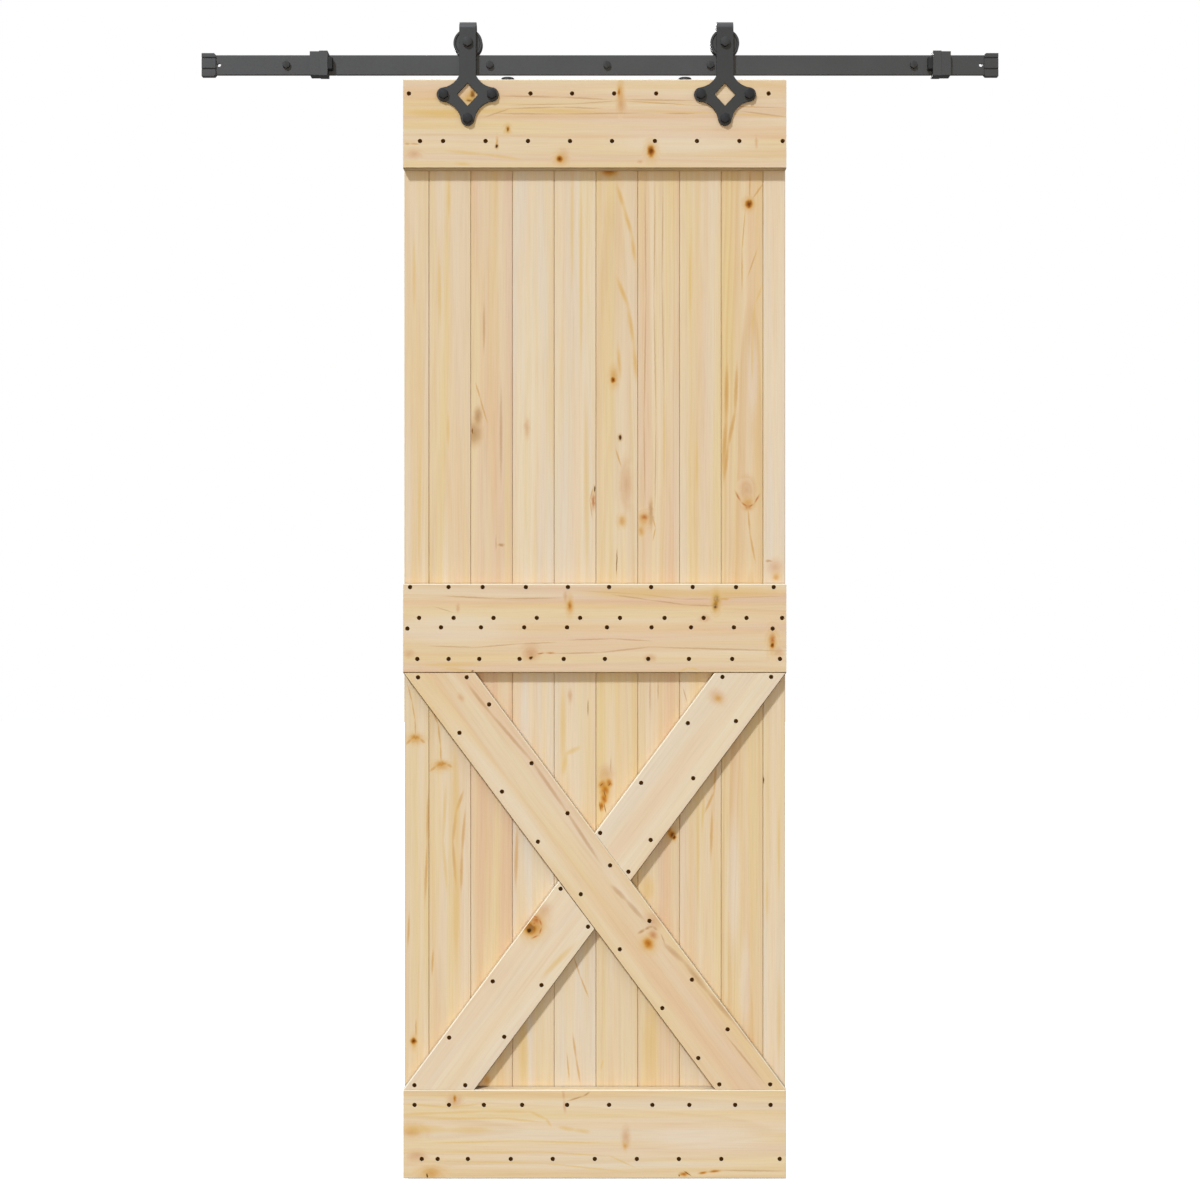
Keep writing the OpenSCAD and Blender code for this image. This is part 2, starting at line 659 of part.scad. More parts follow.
module axle_nuts() color(black_oxide) leaf() for (s = [-1, 1])
    into_wall(hanger_at(s), back_leg_y + strap_t, axle_z) difference() {
        mirror([0, 0, 1]) hex_head(bolt_head_af, axle_nut_h);
        translate([0, 0, -overrun]) cylinder(d = bolt_d + 2 * thread_gap, h = axle_nut_h + 2 * overrun);
    }

module axle_bushes() color(zinc) for (s = [-1, 1]) on_axle(s) for (z = [-leg_gap / 2, brg_w / 2])
    translate([0, 0, z]) rotate_extrude() translate([brg_bore / 2, 0])
        square([(bush_d - brg_bore) / 2, (leg_gap - brg_w) / 2]);

// Wheels and bearings

module wheel(side) color(moulded_black) on_axle(side) rotate_extrude()
    polygon(concat(wheel_side(-1), reversed(wheel_side(1)), bore_points));

module race(r0, r1) rotate_extrude() difference() {
    translate([r0, -brg_w / 2]) square([r1 - r0, brg_w]);
    translate([ball_pitch_d / 2, 0]) circle(ball_d / 2 + race_gap);
}

module outer_race(side) color(zinc) on_axle(side) race(outer_race_d / 2, brg_d / 2);

module bearing_inner_races() color(zinc) for (s = [-1, 1]) on_axle(s) race(brg_bore / 2, inner_race_d / 2);

module shields(side) color(zinc) on_axle(side) for (s = [0, 1]) mirror([0, 0, s])
    translate([0, 0, brg_w / 2 - shield_in - shield_t]) rotate_extrude()
        translate([inner_race_d / 2 + shield_gap, 0])
            square([(outer_race_d - inner_race_d) / 2 - 2 * shield_gap, shield_t]);

module retaining_ring(side) color(black_oxide) on_axle(side)
    translate([0, 0, -brg_w / 2 - clip_t - clip_gap]) difference() {
        rotate_extrude() translate([brg_d / 2 + clip_groove_t - clip_gap - clip_w, 0])
            square([clip_w, clip_t]);
        translate([-clip_open / 2, 0, -overrun]) cube([clip_open, brg_d, clip_t + 2 * overrun]);
    }

module balls_at(r) for (i = [0:ball_count - 1]) rotate(i * 360 / ball_count)
    translate([ball_pitch_d / 2, 0, 0]) sphere(r);

module bearing_balls(side) color(zinc) on_axle(side) balls_at(ball_d / 2);

module ball_cage(side) color(zinc) on_axle(side) difference() {
    translate([0, 0, cage_z]) rotate_extrude() translate([(ball_pitch_d - cage_t) / 2, 0])
        square([cage_t, cage_h]);
    balls_at(ball_d / 2 + pocket_gap);
}

module left_wheel() wheel(-1);

module left_bearing_outer_race() outer_race(-1);

module left_bearing_shields() shields(-1);

module left_retaining_ring() retaining_ring(-1);

module left_bearing_balls() bearing_balls(-1);

module left_ball_cage() ball_cage(-1);

module right_wheel() wheel(1);

module right_bearing_outer_race() outer_race(1);

module right_bearing_shields() shields(1);

module right_retaining_ring() retaining_ring(1);

module right_bearing_balls() bearing_balls(1);

module right_ball_cage() ball_cage(1);

// Anti-jump discs

module anti_jump_disc(side) color(moulded_black) leaf() difference() {
    translate([disc_at(side), disc_screw_y + disc_offset, top_z]) rotate_extrude() polygon([
        [0, 0], [disc_d / 2, 0], [disc_d / 2, disc_t - disc_chamfer], [disc_d / 2 - disc_chamfer, disc_t],
        [0, disc_t]]);
    translate([disc_at(side), disc_screw_y, top_z + disc_t]) mirror([0, 0, 1]) wood_screw_hole();
}

module left_anti_jump_disc() anti_jump_disc(-1);

module right_anti_jump_disc() anti_jump_disc(1);

module anti_jump_screws() color(black_oxide) leaf() for (s = [-1, 1])
    translate([disc_at(s), disc_screw_y, top_z + disc_t]) mirror([0, 0, 1]) wood_screw();

// Rail

module rail_bar() color(powder_coat) difference() {
    along_x(bar_l) translate([bar_front_y, -bar_h / 2]) box_profile(bar_t, bar_h, bar_round);
    for (x = wall_bolt_xs) into_wall(x, bar_front_y - overrun, 0)
        cylinder(d = wall_bolt_d + 2 * wall_bolt_gap, h = bar_t + 2 * overrun);
    for (s = [-1, 1]) into_wall(s * (bar_l / 2 - end_hole_inset), bar_front_y - overrun, 0)
        cylinder(d = end_hole_d, h = bar_t + 2 * overrun);
}

module wall_bolts() color(black_oxide) for (x = wall_bolt_xs) into_wall(x, bar_front_y, 0) {
    hex_head(wall_head_af, wall_head_h);
    rotate_extrude() polygon([
        [0, 0], [wall_bolt_d / 2 - wall_thread_t, 0], [wall_bolt_d / 2 - wall_thread_t, wall_shank_l],
        [wall_bolt_d / 2, wall_shank_l], [wall_bolt_d / 2, wall_bolt_l - wall_bolt_chamfer],
        [wall_bolt_d / 2 - wall_bolt_chamfer, wall_bolt_l], [0, wall_bolt_l]]);
}

module wall_spacers() color(powder_coat) for (x = wall_bolt_xs) into_wall(x, bar_back_y, 0) rotate_extrude()
    translate([wall_bolt_d / 2 + wall_bolt_gap, 0])
        square([(spacer_d - wall_bolt_d) / 2 - wall_bolt_gap, -bar_back_y]);

// End cap on the bar's end, towards positive X for side 1
module end_cap(side) color(moulded_black) mirror([side < 0 ? 1 : 0, 0, 0]) difference() {
    upright(bar_front_y - cap_wall, bar_t + 2 * cap_wall) polygon([
        [cap_in_x + cap_chamfer, -cap_half_h], [cap_out_x, -cap_half_h], [cap_out_x, cap_half_h],
        [cap_in_x + cap_chamfer, cap_half_h], [cap_in_x, cap_half_h - cap_chamfer],
        [cap_in_x, -cap_half_h + cap_chamfer]]);
    translate([cap_in_x - overrun, bar_front_y - cap_gap, -bar_h / 2 - cap_gap])
        cube([bar_l / 2 - cap_in_x + overrun, bar_t + 2 * cap_gap, bar_h + 2 * cap_gap]);
    for (y = [bar_front_y - cap_wall, bar_back_y + cap_wall], z = [cap_groove_up, -cap_groove_down])
        translate([(cap_in_x + cap_out_x) / 2, 0, 0]) along_x(cap_l + 2 * overrun) polygon([
            [y - cap_groove_t, z], [y, z - cap_groove_w / 2],
            [y + cap_groove_t, z], [y, z + cap_groove_w / 2]]);
}

module left_end_cap() end_cap(-1);

module right_end_cap() end_cap(1);

// Stops, with the bumper towards positive X for side 1

module stop_block(l, t) along_x(l) translate([stop_y - t, -bar_h / 2 - stop_wall - t])
    square([stop_front_t + bar_t + stop_back_t + t, bar_h + 2 * (stop_wall + t)]);

module stop(x, side) color(powder_coat) translate([x, 0, 0]) mirror([side < 0 ? 1 : 0, 0, 0]) difference() {
    union() {
        stop_block(stop_l, 0);
        translate([(stop_l - stop_collar_l) / 2, 0, 0]) stop_block(stop_collar_l, stop_collar_t);
    }
    translate([-stop_l / 2 - overrun, bar_front_y - stop_gap, -bar_h / 2 - stop_gap])
        cube([stop_l + 2 * overrun, bar_t + 2 * stop_gap, bar_h + 2 * stop_gap]);
    translate([stop_l / 2 - bumper_stem_l - bumper_stem_gap, bumper_y, 0]) rotate([0, 90, 0])
        cylinder(d = bumper_stem_d + 2 * bumper_stem_gap, h = bumper_stem_l + bumper_stem_gap + overrun);
    for (z = [-set_screw_pitch / 2, set_screw_pitch / 2]) into_wall(0, bar_back_y, z)
        cylinder(d = set_screw_d + 2 * set_screw_gap, h = stop_back_t + overrun);
}

module stop_bumper(x, side) color(moulded_black) translate([x, 0, 0]) mirror([side < 0 ? 1 : 0, 0, 0]) {
    translate([(stop_l + bumper_l) / 2, 0, 0]) along_x(bumper_l)
        translate([stop_y, -bumper_h / 2]) box_profile(bumper_w, bumper_h, bumper_round);
    translate([stop_l / 2 - bumper_stem_l, bumper_y, 0]) rotate([0, 90, 0])
        cylinder(d = bumper_stem_d, h = bumper_stem_l + bumper_l / 2);
}

module left_stop() stop(left_stop_x, 1);

module right_stop() stop(right_stop_x, -1);

module left_stop_bumper() stop_bumper(left_stop_x, 1);

module right_stop_bumper() stop_bumper(right_stop_x, -1);

module stop_set_screws() color(black_oxide)
    for (x = [left_stop_x, right_stop_x], z = [-set_screw_pitch / 2, set_screw_pitch / 2])
        into_wall(x, bar_back_y, z) difference() {
            cylinder(d = set_screw_d, h = stop_back_t + set_screw_out);
            translate([0, 0, stop_back_t + set_screw_out - set_key_t])
                cylinder(d = set_key_af / cos(30), h = set_key_t + overrun, $fn = 6);
        }

rail_bar();
wall_bolts();
wall_spacers();
left_end_cap();
right_end_cap();
left_stop();
right_stop();
left_stop_bumper();
right_stop_bumper();
stop_set_screws();
plank_01();
plank_02();
plank_03();
plank_04();
plank_05();
plank_06();
plank_07();
plank_08();
plank_09();
plank_10();
top_board();
middle_board();
bottom_board();
long_brace();
upper_half_brace();
lower_half_brace();
top_board_screws();
middle_board_screws();
bottom_board_screws();
brace_screws();
left_hanger();
right_hanger();
hanger_bolts();
hanger_nuts();
left_axle_bolt();
right_axle_bolt();
axle_nuts();
axle_bushes();
bearing_inner_races();
left_anti_jump_disc();
right_anti_jump_disc();
anti_jump_screws();
left_wheel();
left_bearing_outer_race();
left_bearing_shields();
left_retaining_ring();
right_wheel();
right_bearing_outer_race();
right_bearing_shields();
right_retaining_ring();
left_bearing_balls();
left_ball_cage();
right_bearing_balls();
right_ball_cage();
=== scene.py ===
import json
import math
import random

import bpy
from mathutils import Euler, Matrix, Vector

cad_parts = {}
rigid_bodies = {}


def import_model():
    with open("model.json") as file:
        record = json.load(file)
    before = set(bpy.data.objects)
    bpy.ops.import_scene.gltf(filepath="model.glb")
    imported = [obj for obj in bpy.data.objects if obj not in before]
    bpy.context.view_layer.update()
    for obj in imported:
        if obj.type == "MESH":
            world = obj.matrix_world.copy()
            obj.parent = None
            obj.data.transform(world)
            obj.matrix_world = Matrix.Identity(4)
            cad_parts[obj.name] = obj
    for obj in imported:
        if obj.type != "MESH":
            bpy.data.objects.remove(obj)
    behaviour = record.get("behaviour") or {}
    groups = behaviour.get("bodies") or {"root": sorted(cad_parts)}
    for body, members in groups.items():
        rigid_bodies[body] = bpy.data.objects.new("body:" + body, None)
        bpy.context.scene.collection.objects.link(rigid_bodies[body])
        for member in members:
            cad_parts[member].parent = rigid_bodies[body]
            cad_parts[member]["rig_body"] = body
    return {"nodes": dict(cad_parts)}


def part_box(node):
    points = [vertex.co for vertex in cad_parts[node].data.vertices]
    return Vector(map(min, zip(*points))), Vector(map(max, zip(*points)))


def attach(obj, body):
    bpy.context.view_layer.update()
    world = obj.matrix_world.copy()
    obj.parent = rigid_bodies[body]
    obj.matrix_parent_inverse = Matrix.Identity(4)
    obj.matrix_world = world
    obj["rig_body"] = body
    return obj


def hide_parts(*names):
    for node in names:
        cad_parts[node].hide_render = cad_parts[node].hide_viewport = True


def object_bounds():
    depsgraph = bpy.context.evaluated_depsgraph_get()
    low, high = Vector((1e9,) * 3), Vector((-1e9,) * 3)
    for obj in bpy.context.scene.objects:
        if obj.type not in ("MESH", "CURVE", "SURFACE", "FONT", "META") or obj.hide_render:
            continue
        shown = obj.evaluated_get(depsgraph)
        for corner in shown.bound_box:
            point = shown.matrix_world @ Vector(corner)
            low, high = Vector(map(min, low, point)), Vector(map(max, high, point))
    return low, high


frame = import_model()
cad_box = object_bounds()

MM = 0.001
NODES = frame["nodes"]
WHITE = (1, 1, 1, 1)

# Photograph: its square frame in pixels, and the place of the lens in front of the boards
PHOTO_SIDE = 1200
PHOTO_CENTRE = PHOTO_SIDE / 2
LENS_MM = 50.0
SENSOR_MM = 36.0
LENS_GAP = 3.183
LENS_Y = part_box("top_board")[0].y - LENS_GAP
LENS_Z = -1.024
CLIP_END = 60


def from_pixel(px, py, y):
    """Place at depth y that the photograph shows at a pixel."""
    reach = (y - LENS_Y) * SENSOR_MM / LENS_MM / PHOTO_SIDE
    return Vector(((px - PHOTO_CENTRE) * reach, y, LENS_Z - (py - PHOTO_CENTRE) * reach))


def linear(code, alpha=1.0):
    """Linear colour of an sRGB hex code."""
    parts = [int(code[i:i + 2], 16) / 255 for i in (1, 3, 5)]
    return tuple(c / 12.92 if c <= 0.04045 else ((c + 0.055) / 1.055) ** 2.4 for c in parts) + (alpha,)


def add(tree, kind, settings=None, stops=None, **inputs):
    """Adds a node. Settings are properties, stops a ramp's colours, inputs sockets by name or number."""
    node = tree.nodes.new(kind)
    for name, value in (settings or {}).items():
        setattr(node, name, value)
    for i, (place, colour) in enumerate(stops or []):
        ramp = node.color_ramp.elements
        stop = ramp[i] if i < 2 else ramp.new(place)
        stop.position, stop.color = place, colour
    for name, value in inputs.items():
        socket = node.inputs[int(name[1:])] if name[0] == "_" else node.inputs[name.replace("__", " ")]
        if isinstance(value, bpy.types.NodeSocket):
            tree.links.new(value, socket)
        else:
            socket.default_value = value
    return node


def maths(tree, operation, *values):
    """Result of a maths node."""
    inputs = {"_%d" % i: value for i, value in enumerate(values)}
    return add(tree, "ShaderNodeMath", {"operation": operation}, **inputs).outputs[0]


def vectors(tree, operation, *values):
    """Result of a vector maths node: a number for products and distances, otherwise a vector."""
    inputs = {"_%d" % i: value for i, value in enumerate(values)}
    node = add(tree, "ShaderNodeVectorMath", {"operation": operation}, **inputs)
    return node.outputs["Value" if operation in ("DOT_PRODUCT", "DISTANCE") else "Vector"]


def spread(tree, value, span, reach=(0.0, 1.0), course="LINEAR"):
    """A value's span laid out over a reach."""
    return add(tree, "ShaderNodeMapRange", {"interpolation_type": course}, Value=value, From__Min=span[0],
               From__Max=span[1], To__Min=reach[0], To__Max=reach[1]).outputs[0]


def mixed(tree, share, one, other, blend="MIX"):
    """Colour mixed from two."""
    return add(tree, "ShaderNodeMix", {"data_type": "RGBA", "blend_type": blend}, _0=share, _6=one,
               _7=other).outputs[2]


def new_material(name):
    material = bpy.data.materials.new(name)
    material.use_nodes = True
    tree = material.node_tree
    return material, tree, tree.nodes["Principled BSDF"]


def dress(names, material):
    for name in names:
        mesh = NODES[name].data
        mesh.materials.clear()
        mesh.materials.append(material)


# Camera
camera_data = bpy.data.cameras.new("camera")
camera_data.lens = LENS_MM
camera_data.sensor_width = SENSOR_MM
camera_data.clip_end = CLIP_END
camera = bpy.data.objects.new("camera", camera_data)
bpy.context.collection.objects.link(camera)
camera.location = (0, LENS_Y, LENS_Z)
camera.rotation_euler = (math.pi / 2, 0, 0)
scene = bpy.context.scene
scene.camera = camera
scene.view_settings.view_transform = "Standard"

# Light: a cool key from the upper left in front, a warm fill from the front, a fill behind, and a pale room.
# Each light: the way it shines, its strength, its spread in degrees, its tint
LIGHTS = {
    "key_light": ((0.5, 1.0, -1.02), 2.42, 5, (0.80, 0.88, 1.0)),
    "front_fill": ((0.0, 1.0, 0.12), 0.94, 3, (1.0, 0.87, 0.67)),
    "back_fill": ((0.2, -1.0, -0.3), 1.50, 20, (1.0, 1.0, 1.0)),
}
for name, (travel, energy, spread_angle, tint) in LIGHTS.items():
    light_data = bpy.data.lights.new(name, "SUN")
    light_data.energy = energy
    light_data.angle = math.radians(spread_angle)
    light_data.color = tint
    light = bpy.data.objects.new(name, light_data)
    bpy.context.collection.objects.link(light)
    light.rotation_euler = Vector(travel).to_track_quat("-Z", "Y").to_euler()

# Room: dimmer below than above, and plain white where the camera sees it
ROOM_LOW, ROOM_HIGH = 0.14, 0.47
world = bpy.data.worlds.new("studio")
scene.world = world
world.use_nodes = True
sky = world.node_tree
sky.nodes.clear()
ray = add(sky, "ShaderNodeLightPath")
way = add(sky, "ShaderNodeTexCoord")
height = add(sky, "ShaderNodeSeparateXYZ", Vector=way.outputs["Generated"])
room = spread(sky, height.outputs["Z"], (-1.0, 1.0), (ROOM_LOW, ROOM_HIGH))
seen = mixed(sky, ray.outputs["Is Camera Ray"], room, WHITE)
back = add(sky, "ShaderNodeBackground", Color=seen, Strength=1.0)
add(sky, "ShaderNodeOutputWorld", Surface=back.outputs[0])

# Pine, planed and left bare: broad soft streaks of honey, cream, yellow, rose and grey along each board,
# faint growth lines, a dull fibrous surface, a painted highlight on the arrises that face the light, painted
# shade on those below, painted shade where pieces meet, and knots where branches were
HONEY = linear("#E1C495")
CREAM = linear("#E7D6BA")
YELLOW = linear("#E2C88F")
ROSE = linear("#DEBA99")
GREY = linear("#E0D2BF")
LATE_WOOD = linear("#CDA064")
FIBRE_SHADE = linear("#F0EAE2")
# Painted highlight on arrises that face the light, and painted shade on those below
ARRIS_HIGHLIGHT = linear("#FFF4DA")
LOWER_ARRIS_SHADE = (0.26, 0.20, 0.12, 1)
# Painted shade in creases and corners: how far the occlusion looks in mm, and the colour it darkens to
CREASE_SHADE_REACH, CREASE_SHADE = 5.0, (0.80, 0.75, 0.68, 1)
CORNER_SHADE_REACH, CORNER_SHADE = 30.0, (0.88, 0.86, 0.84, 1)
SHADE_RAYS = 4
BARE_GLOSS = 0.12
BARE_ROUGH = (0.55, 0.70)

# Marks in the wood, as places, colours and strengths from the middle outwards
MARKS = {
    "knot": [(0.0, "#A86A1E", 1.0), (0.14, "#B6782C", 0.97), (0.32, "#C68C40", 0.85),
             (0.58, "#D6A866", 0.45), (1.0, "#E0C08C", 0.0)],
    "amber": [(0.0, "#CB9242", 0.80), (0.25, "#D19E52", 0.70), (0.50, "#D9B072", 0.42),
              (1.0, "#E0C08C", 0.0)],
    "eye": [(0.0, "#6A3200", 1.0), (0.20, "#7E4406", 1.0), (0.36, "#9A5C10", 0.97), (0.56, "#BC7C28", 0.88),
            (0.74, "#D0A054", 0.48), (1.0, "#E0C08C", 0.0)],
    "orange": [(0.0, "#A85E0A", 0.95), (0.30, "#C07C24", 0.92), (0.52, "#D09842", 0.66),
               (0.74, "#DAB06C", 0.25), (1.0, "#E0C08C", 0.0)],
    "rust": [(0.0, "#B0622A", 0.90), (0.30, "#C07C40", 0.75), (0.62, "#D0A068", 0.35),
             (1.0, "#E0C08C", 0.0)],
    "bruise": [(0.0, "#AC7E4C", 0.80), (0.40, "#BC9060", 0.68), (0.70, "#CEA878", 0.36),
               (1.0, "#E0C49C", 0.0)],
    "blush": [(0.0, "#C79468", 0.62), (0.40, "#D0A276", 0.46), (1.0, "#E0C49C", 0.0)],
    "pin": [(0.0, "#331A02", 1.0), (0.32, "#56340A", 0.95), (0.50, "#B4863C", 0.45), (1.0, "#E0C08C", 0.0)],
    "resin": [(0.0, "#764600", 0.95), (0.30, "#94620C", 0.90), (0.52, "#C4963E", 0.50),
              (1.0, "#E0C08C", 0.0)],
    "line": [(0.0, "#C68E3E", 0.66), (0.50, "#CC984C", 0.54), (0.75, "#D8AE70", 0.26),
             (1.0, "#E0C08C", 0.0)],
    "flame": [(0.0, "#D4A452", 0.72), (0.40, "#D8AC5E", 0.58), (0.70, "#DCB672", 0.28),
              (1.0, "#E0C08C", 0.0)],
    "gold": [(0.0, "#DAB468", 0.58), (0.50, "#DCB872", 0.46), (0.75, "#DFBE7E", 0.22),
             (1.0, "#E0C08C", 0.0)],
    "brown": [(0.0, "#B4885A", 0.60), (0.50, "#BC9468", 0.48), (0.75, "#CDAA80", 0.22),
              (1.0, "#E0C49C", 0.0)],
    "ash": [(0.0, "#E6DCCF", 0.36), (0.50, "#E6DBCC", 0.32), (0.80, "#E4D4BC", 0.14),
            (1.0, "#E0CBA8", 0.0)],
    "rosy": [(0.0, "#DFBCA4", 0.40), (0.50, "#DFBEA4", 0.34), (0.80, "#DFC09E", 0.14),
             (1.0, "#E0C49C", 0.0)],
    "vein": [(0.0, "#5C3206", 0.95), (0.50, "#86541C", 0.75), (0.75, "#C1985C", 0.28),
             (1.0, "#E0C08C", 0.0)],
}
# A spot's stated size is a third of its reach. A line reaches a little past its ends, where the next one
# starts. Wide knots and their surrounds push the growth rings aside.
SPOT_REACH = 3.0
LINE_REACH = 1.5
PUSHING, PUSHING_WIDTH = ("knot", "amber", "blush"), 3.5

ALONG_GRAIN = Vector((1, 0, 0))
ALONG_DOOR = -math.pi / 2
ALONG_BOARD = 0.0
BRACE_TURN = math.radians(53.23)

# Each piece: turn of its grain, its share of cream, yellow, rose and grey, then its growth rings (pith across
# and behind the face, in mm, its two tilts in degrees, ring width in mm, strength of the late wood)
TIMBER = {
    "plank_01": (ALONG_DOOR, 0.45, 0.6, 0.3, 0.3, (60, 70, 1.0, 0.4, 8.0, 0.12)),
    "plank_02": (ALONG_DOOR, 0.50, 0.6, 0.3, 0.3, (20, 60, 0.5, 1.2, 9.0, 0.15)),
    "plank_03": (ALONG_DOOR, 0.35, 0.3, 0.9, 0.3, (-30, 55, 0.8, 0.6, 8.0, 0.12)),
    "plank_04": (ALONG_DOOR, 0.60, 0.4, 0.3, 0.8, (80, 60, 0.4, 0.3, 7.0, 0.06)),
    "plank_05": (ALONG_DOOR, 0.75, 0.6, 0.3, 0.6, (-70, 50, 0.6, 0.2, 8.0, 0.08)),
    "plank_06": (ALONG_DOOR, 0.42, 0.8, 0.3, 0.4, (12, 34, 0.2, 1.6, 11.0, 0.20)),
    "plank_07": (ALONG_DOOR, 0.35, 0.5, 0.7, 0.3, (45, 40, 0.6, 0.5, 6.5, 0.22)),
    "plank_08": (ALONG_DOOR, 0.48, 0.6, 0.4, 0.4, (90, 60, 0.3, 0.3, 7.0, 0.10)),
    "plank_09": (ALONG_DOOR, 0.18, 0.7, 0.4, 0.2, (-10, 30, 0.3, 1.1, 8.0, 0.36)),
    "plank_10": (ALONG_DOOR, 0.84, 0.5, 0.2, 0.8, (70, 60, 0.5, 0.4, 9.0, 0.06)),
    "top_board": (ALONG_BOARD, 0.42, 0.5, 0.6, 0.3, (70, 45, 0.8, 1.2, 14.0, 0.22)),
    "middle_board": (ALONG_BOARD, 0.36, 0.3, 1.0, 0.3, (15, 40, 0.4, 2.2, 14.0, 0.20)),
    "bottom_board": (ALONG_BOARD, 0.46, 0.5, 0.3, 0.5, (10, 36, 0.5, 3.0, 14.0, 0.22)),
    "long_brace": (BRACE_TURN, 0.36, 0.3, 0.8, 0.3, (75, 50, 0.5, 0.8, 14.0, 0.10)),
    "upper_half_brace": (-BRACE_TURN, 0.84, 0.2, 0.5, 0.5, (-65, 50, 0.6, 0.5, 12.0, 0.08)),
    "lower_half_brace": (-BRACE_TURN, 1.10, 0.1, 0.3, 0.6, (65, 45, 0.6, 0.8, 12.0, 0.10)),
}

# Knots and stains: kind, where the photograph shows it, half its length along the grain and across it in mm
SPOTS = {
    "plank_01": [("amber", 415.5, 739, 6, 10), ("knot", 415.5, 737, 3, 5), ("amber", 413.8, 1042, 9, 3.6),
                 ("eye", 413.6, 1041, 3, 3)],
    "plank_02": [("amber", 441.5, 766, 6, 11), ("knot", 441.5, 763.5, 3, 5.4)],
    "plank_03": [("bruise", 474, 433, 12, 8), ("bruise", 478, 416, 9, 4), ("vein", 472.4, 431, 3, 0.6),
                 ("bruise", 501, 545, 1.6, 3.2), ("amber", 487, 1080, 8, 5)],
    "plank_04": [("blush", 527, 428, 10, 3)],
    "plank_05": [("rust", 593.5, 501, 9, 2.4), ("pin", 594.5, 489, 4, 1), ("blush", 570, 696, 7, 2.5)],
    "plank_06": [("orange", 609, 170, 7, 9), ("amber", 614, 377, 12, 5), ("eye", 613.1, 379.9, 2.8, 2.6),
                 ("pin", 620, 437.6, 4, 2.4), ("blush", 626, 485, 24, 7), ("amber", 622, 521, 7, 5),
                 ("blush", 606, 774, 9, 8), ("amber", 604.5, 791, 16, 7), ("orange", 603, 785, 5, 5),
                 ("orange", 609, 783.5, 5, 3.4), ("orange", 605, 791, 7, 4.6), ("orange", 604, 799, 6, 3.4),
                 ("orange", 601.5, 806, 5, 2.8)],
    "plank_07": [("bruise", 651, 514, 14, 2.4), ("amber", 643.5, 519, 9, 7), ("rust", 644.5, 517, 3.2, 4.6),
                 ("amber", 641, 531, 7, 4), ("amber", 672, 834, 8, 6), ("orange", 670, 832, 4, 3.4),
                 ("eye", 672.4, 835, 3.6, 3), ("eye", 674.4, 837.5, 2.4, 2)],
    "plank_09": [("ash", 733, 885, 55, 6), ("ash", 745, 985, 40, 5), ("ash", 753, 375, 36, 4.5),
                 ("amber", 749, 204, 8, 6), ("eye", 749, 204, 4.4, 3.6), ("blush", 747, 490, 13, 8),
                 ("amber", 748, 503, 7, 7), ("rust", 748, 507, 2.8, 4)],
    "plank_10": [("pin", 763.3, 780, 5, 1), ("bruise", 769, 561, 1.2, 3), ("blush", 775, 567, 8, 8),
                 ("amber", 776, 577, 5, 5)],
    "top_board": [("ash", 682, 143, 64, 9), ("blush", 414, 154, 8, 5), ("amber", 469.5, 97.5, 6, 7),
                  ("resin", 472.6, 95, 3.4, 7), ("resin", 469, 100, 4, 2.2), ("amber", 507.7, 129.3, 4, 6),
                  ("resin", 507.7, 129.3, 1.8, 3.4), ("amber", 497, 142, 1.5, 7),
                  ("pin", 496.7, 146.3, 1.8, 2.6), ("blush", 563.5, 157, 6, 8),
                  ("amber", 559.7, 158.7, 7, 7), ("eye", 559.7, 158.7, 3, 3), ("amber", 620.5, 95, 4, 18),
                  ("knot", 619, 92.5, 1.8, 6), ("blush", 621.5, 105, 5, 8), ("amber", 651.3, 151, 7, 12),
                  ("eye", 651, 151, 3.4, 5.6), ("blush", 640, 161.7, 3, 2), ("blush", 756.3, 142, 1.6, 6)],
    "middle_board": [("rosy", 610, 640, 110, 13), ("ash", 450, 630, 56, 13), ("amber", 569.7, 606, 4, 11),
                     ("knot", 569.7, 605.5, 3, 6), ("blush", 565.3, 596, 2, 7), ("amber", 716, 602, 5, 13),
                     ("resin", 716.6, 599, 4.4, 6.8), ("pin", 717, 598.5, 1.6, 2.8),
                     ("resin", 715.4, 606, 3.4, 5.2), ("pin", 715.2, 606.5, 1.5, 2.4),
                     ("amber", 724, 598.7, 8, 2), ("blush", 530.5, 652, 9, 9), ("blush", 531, 654, 7, 6),
                     ("pin", 531, 658, 2.4, 2), ("amber", 772.4, 642, 6, 15), ("rust", 772.4, 641, 3, 8),
                     ("eye", 772.4, 645, 1.8, 2.6), ("blush", 779, 652, 5, 5), ("blush", 650, 658, 6, 4),
                     ("blush", 704.7, 618.5, 6, 4), ("blush", 409, 653.7, 6, 4), ("pin", 472.3, 671, 2, 1),
                     ("blush", 458, 608, 2, 5)],
    "bottom_board": [("ash", 708, 1138, 52, 10), ("blush", 417, 1156, 10, 6), ("blush", 455, 1101, 8, 7),
                     ("knot", 454.7, 1098.7, 2.4, 5), ("amber", 412, 1131.3, 15, 8),
                     ("amber", 431.3, 1173, 14, 9), ("pin", 427, 1175.5, 1.2, 3),
                     ("blush", 626, 1138, 4.4, 11), ("amber", 625, 1146, 3, 4),
                     ("orange", 684, 1174, 5, 2.6), ("pin", 679, 1175.5, 1, 1.6)],
    "long_brace": [("ash", 505, 795, 80, 8), ("rust", 653, 935, 6, 5), ("blush", 461, 697.6, 5, 3),
                   ("blush", 653, 921, 10, 8), ("amber", 648.4, 944, 10, 9),
                   ("orange", 648.2, 943.4, 6.4, 5)],
    "upper_half_brace": [("blush", 717, 697, 7, 9), ("amber", 718, 698.4, 4, 5)],
    "lower_half_brace": [("blush", 543, 911, 9, 8), ("amber", 532.5, 926, 15, 15),
                         ("orange", 531.8, 926.3, 10.4, 10.4), ("rust", 532, 926, 7, 7),
                         ("eye", 530.4, 928.4, 6.0, 5.6), ("orange", 534, 923.5, 2, 2),
                         ("pin", 529, 930.3, 3.8, 3.0), ("rust", 536.5, 919.5, 5, 5)],
}

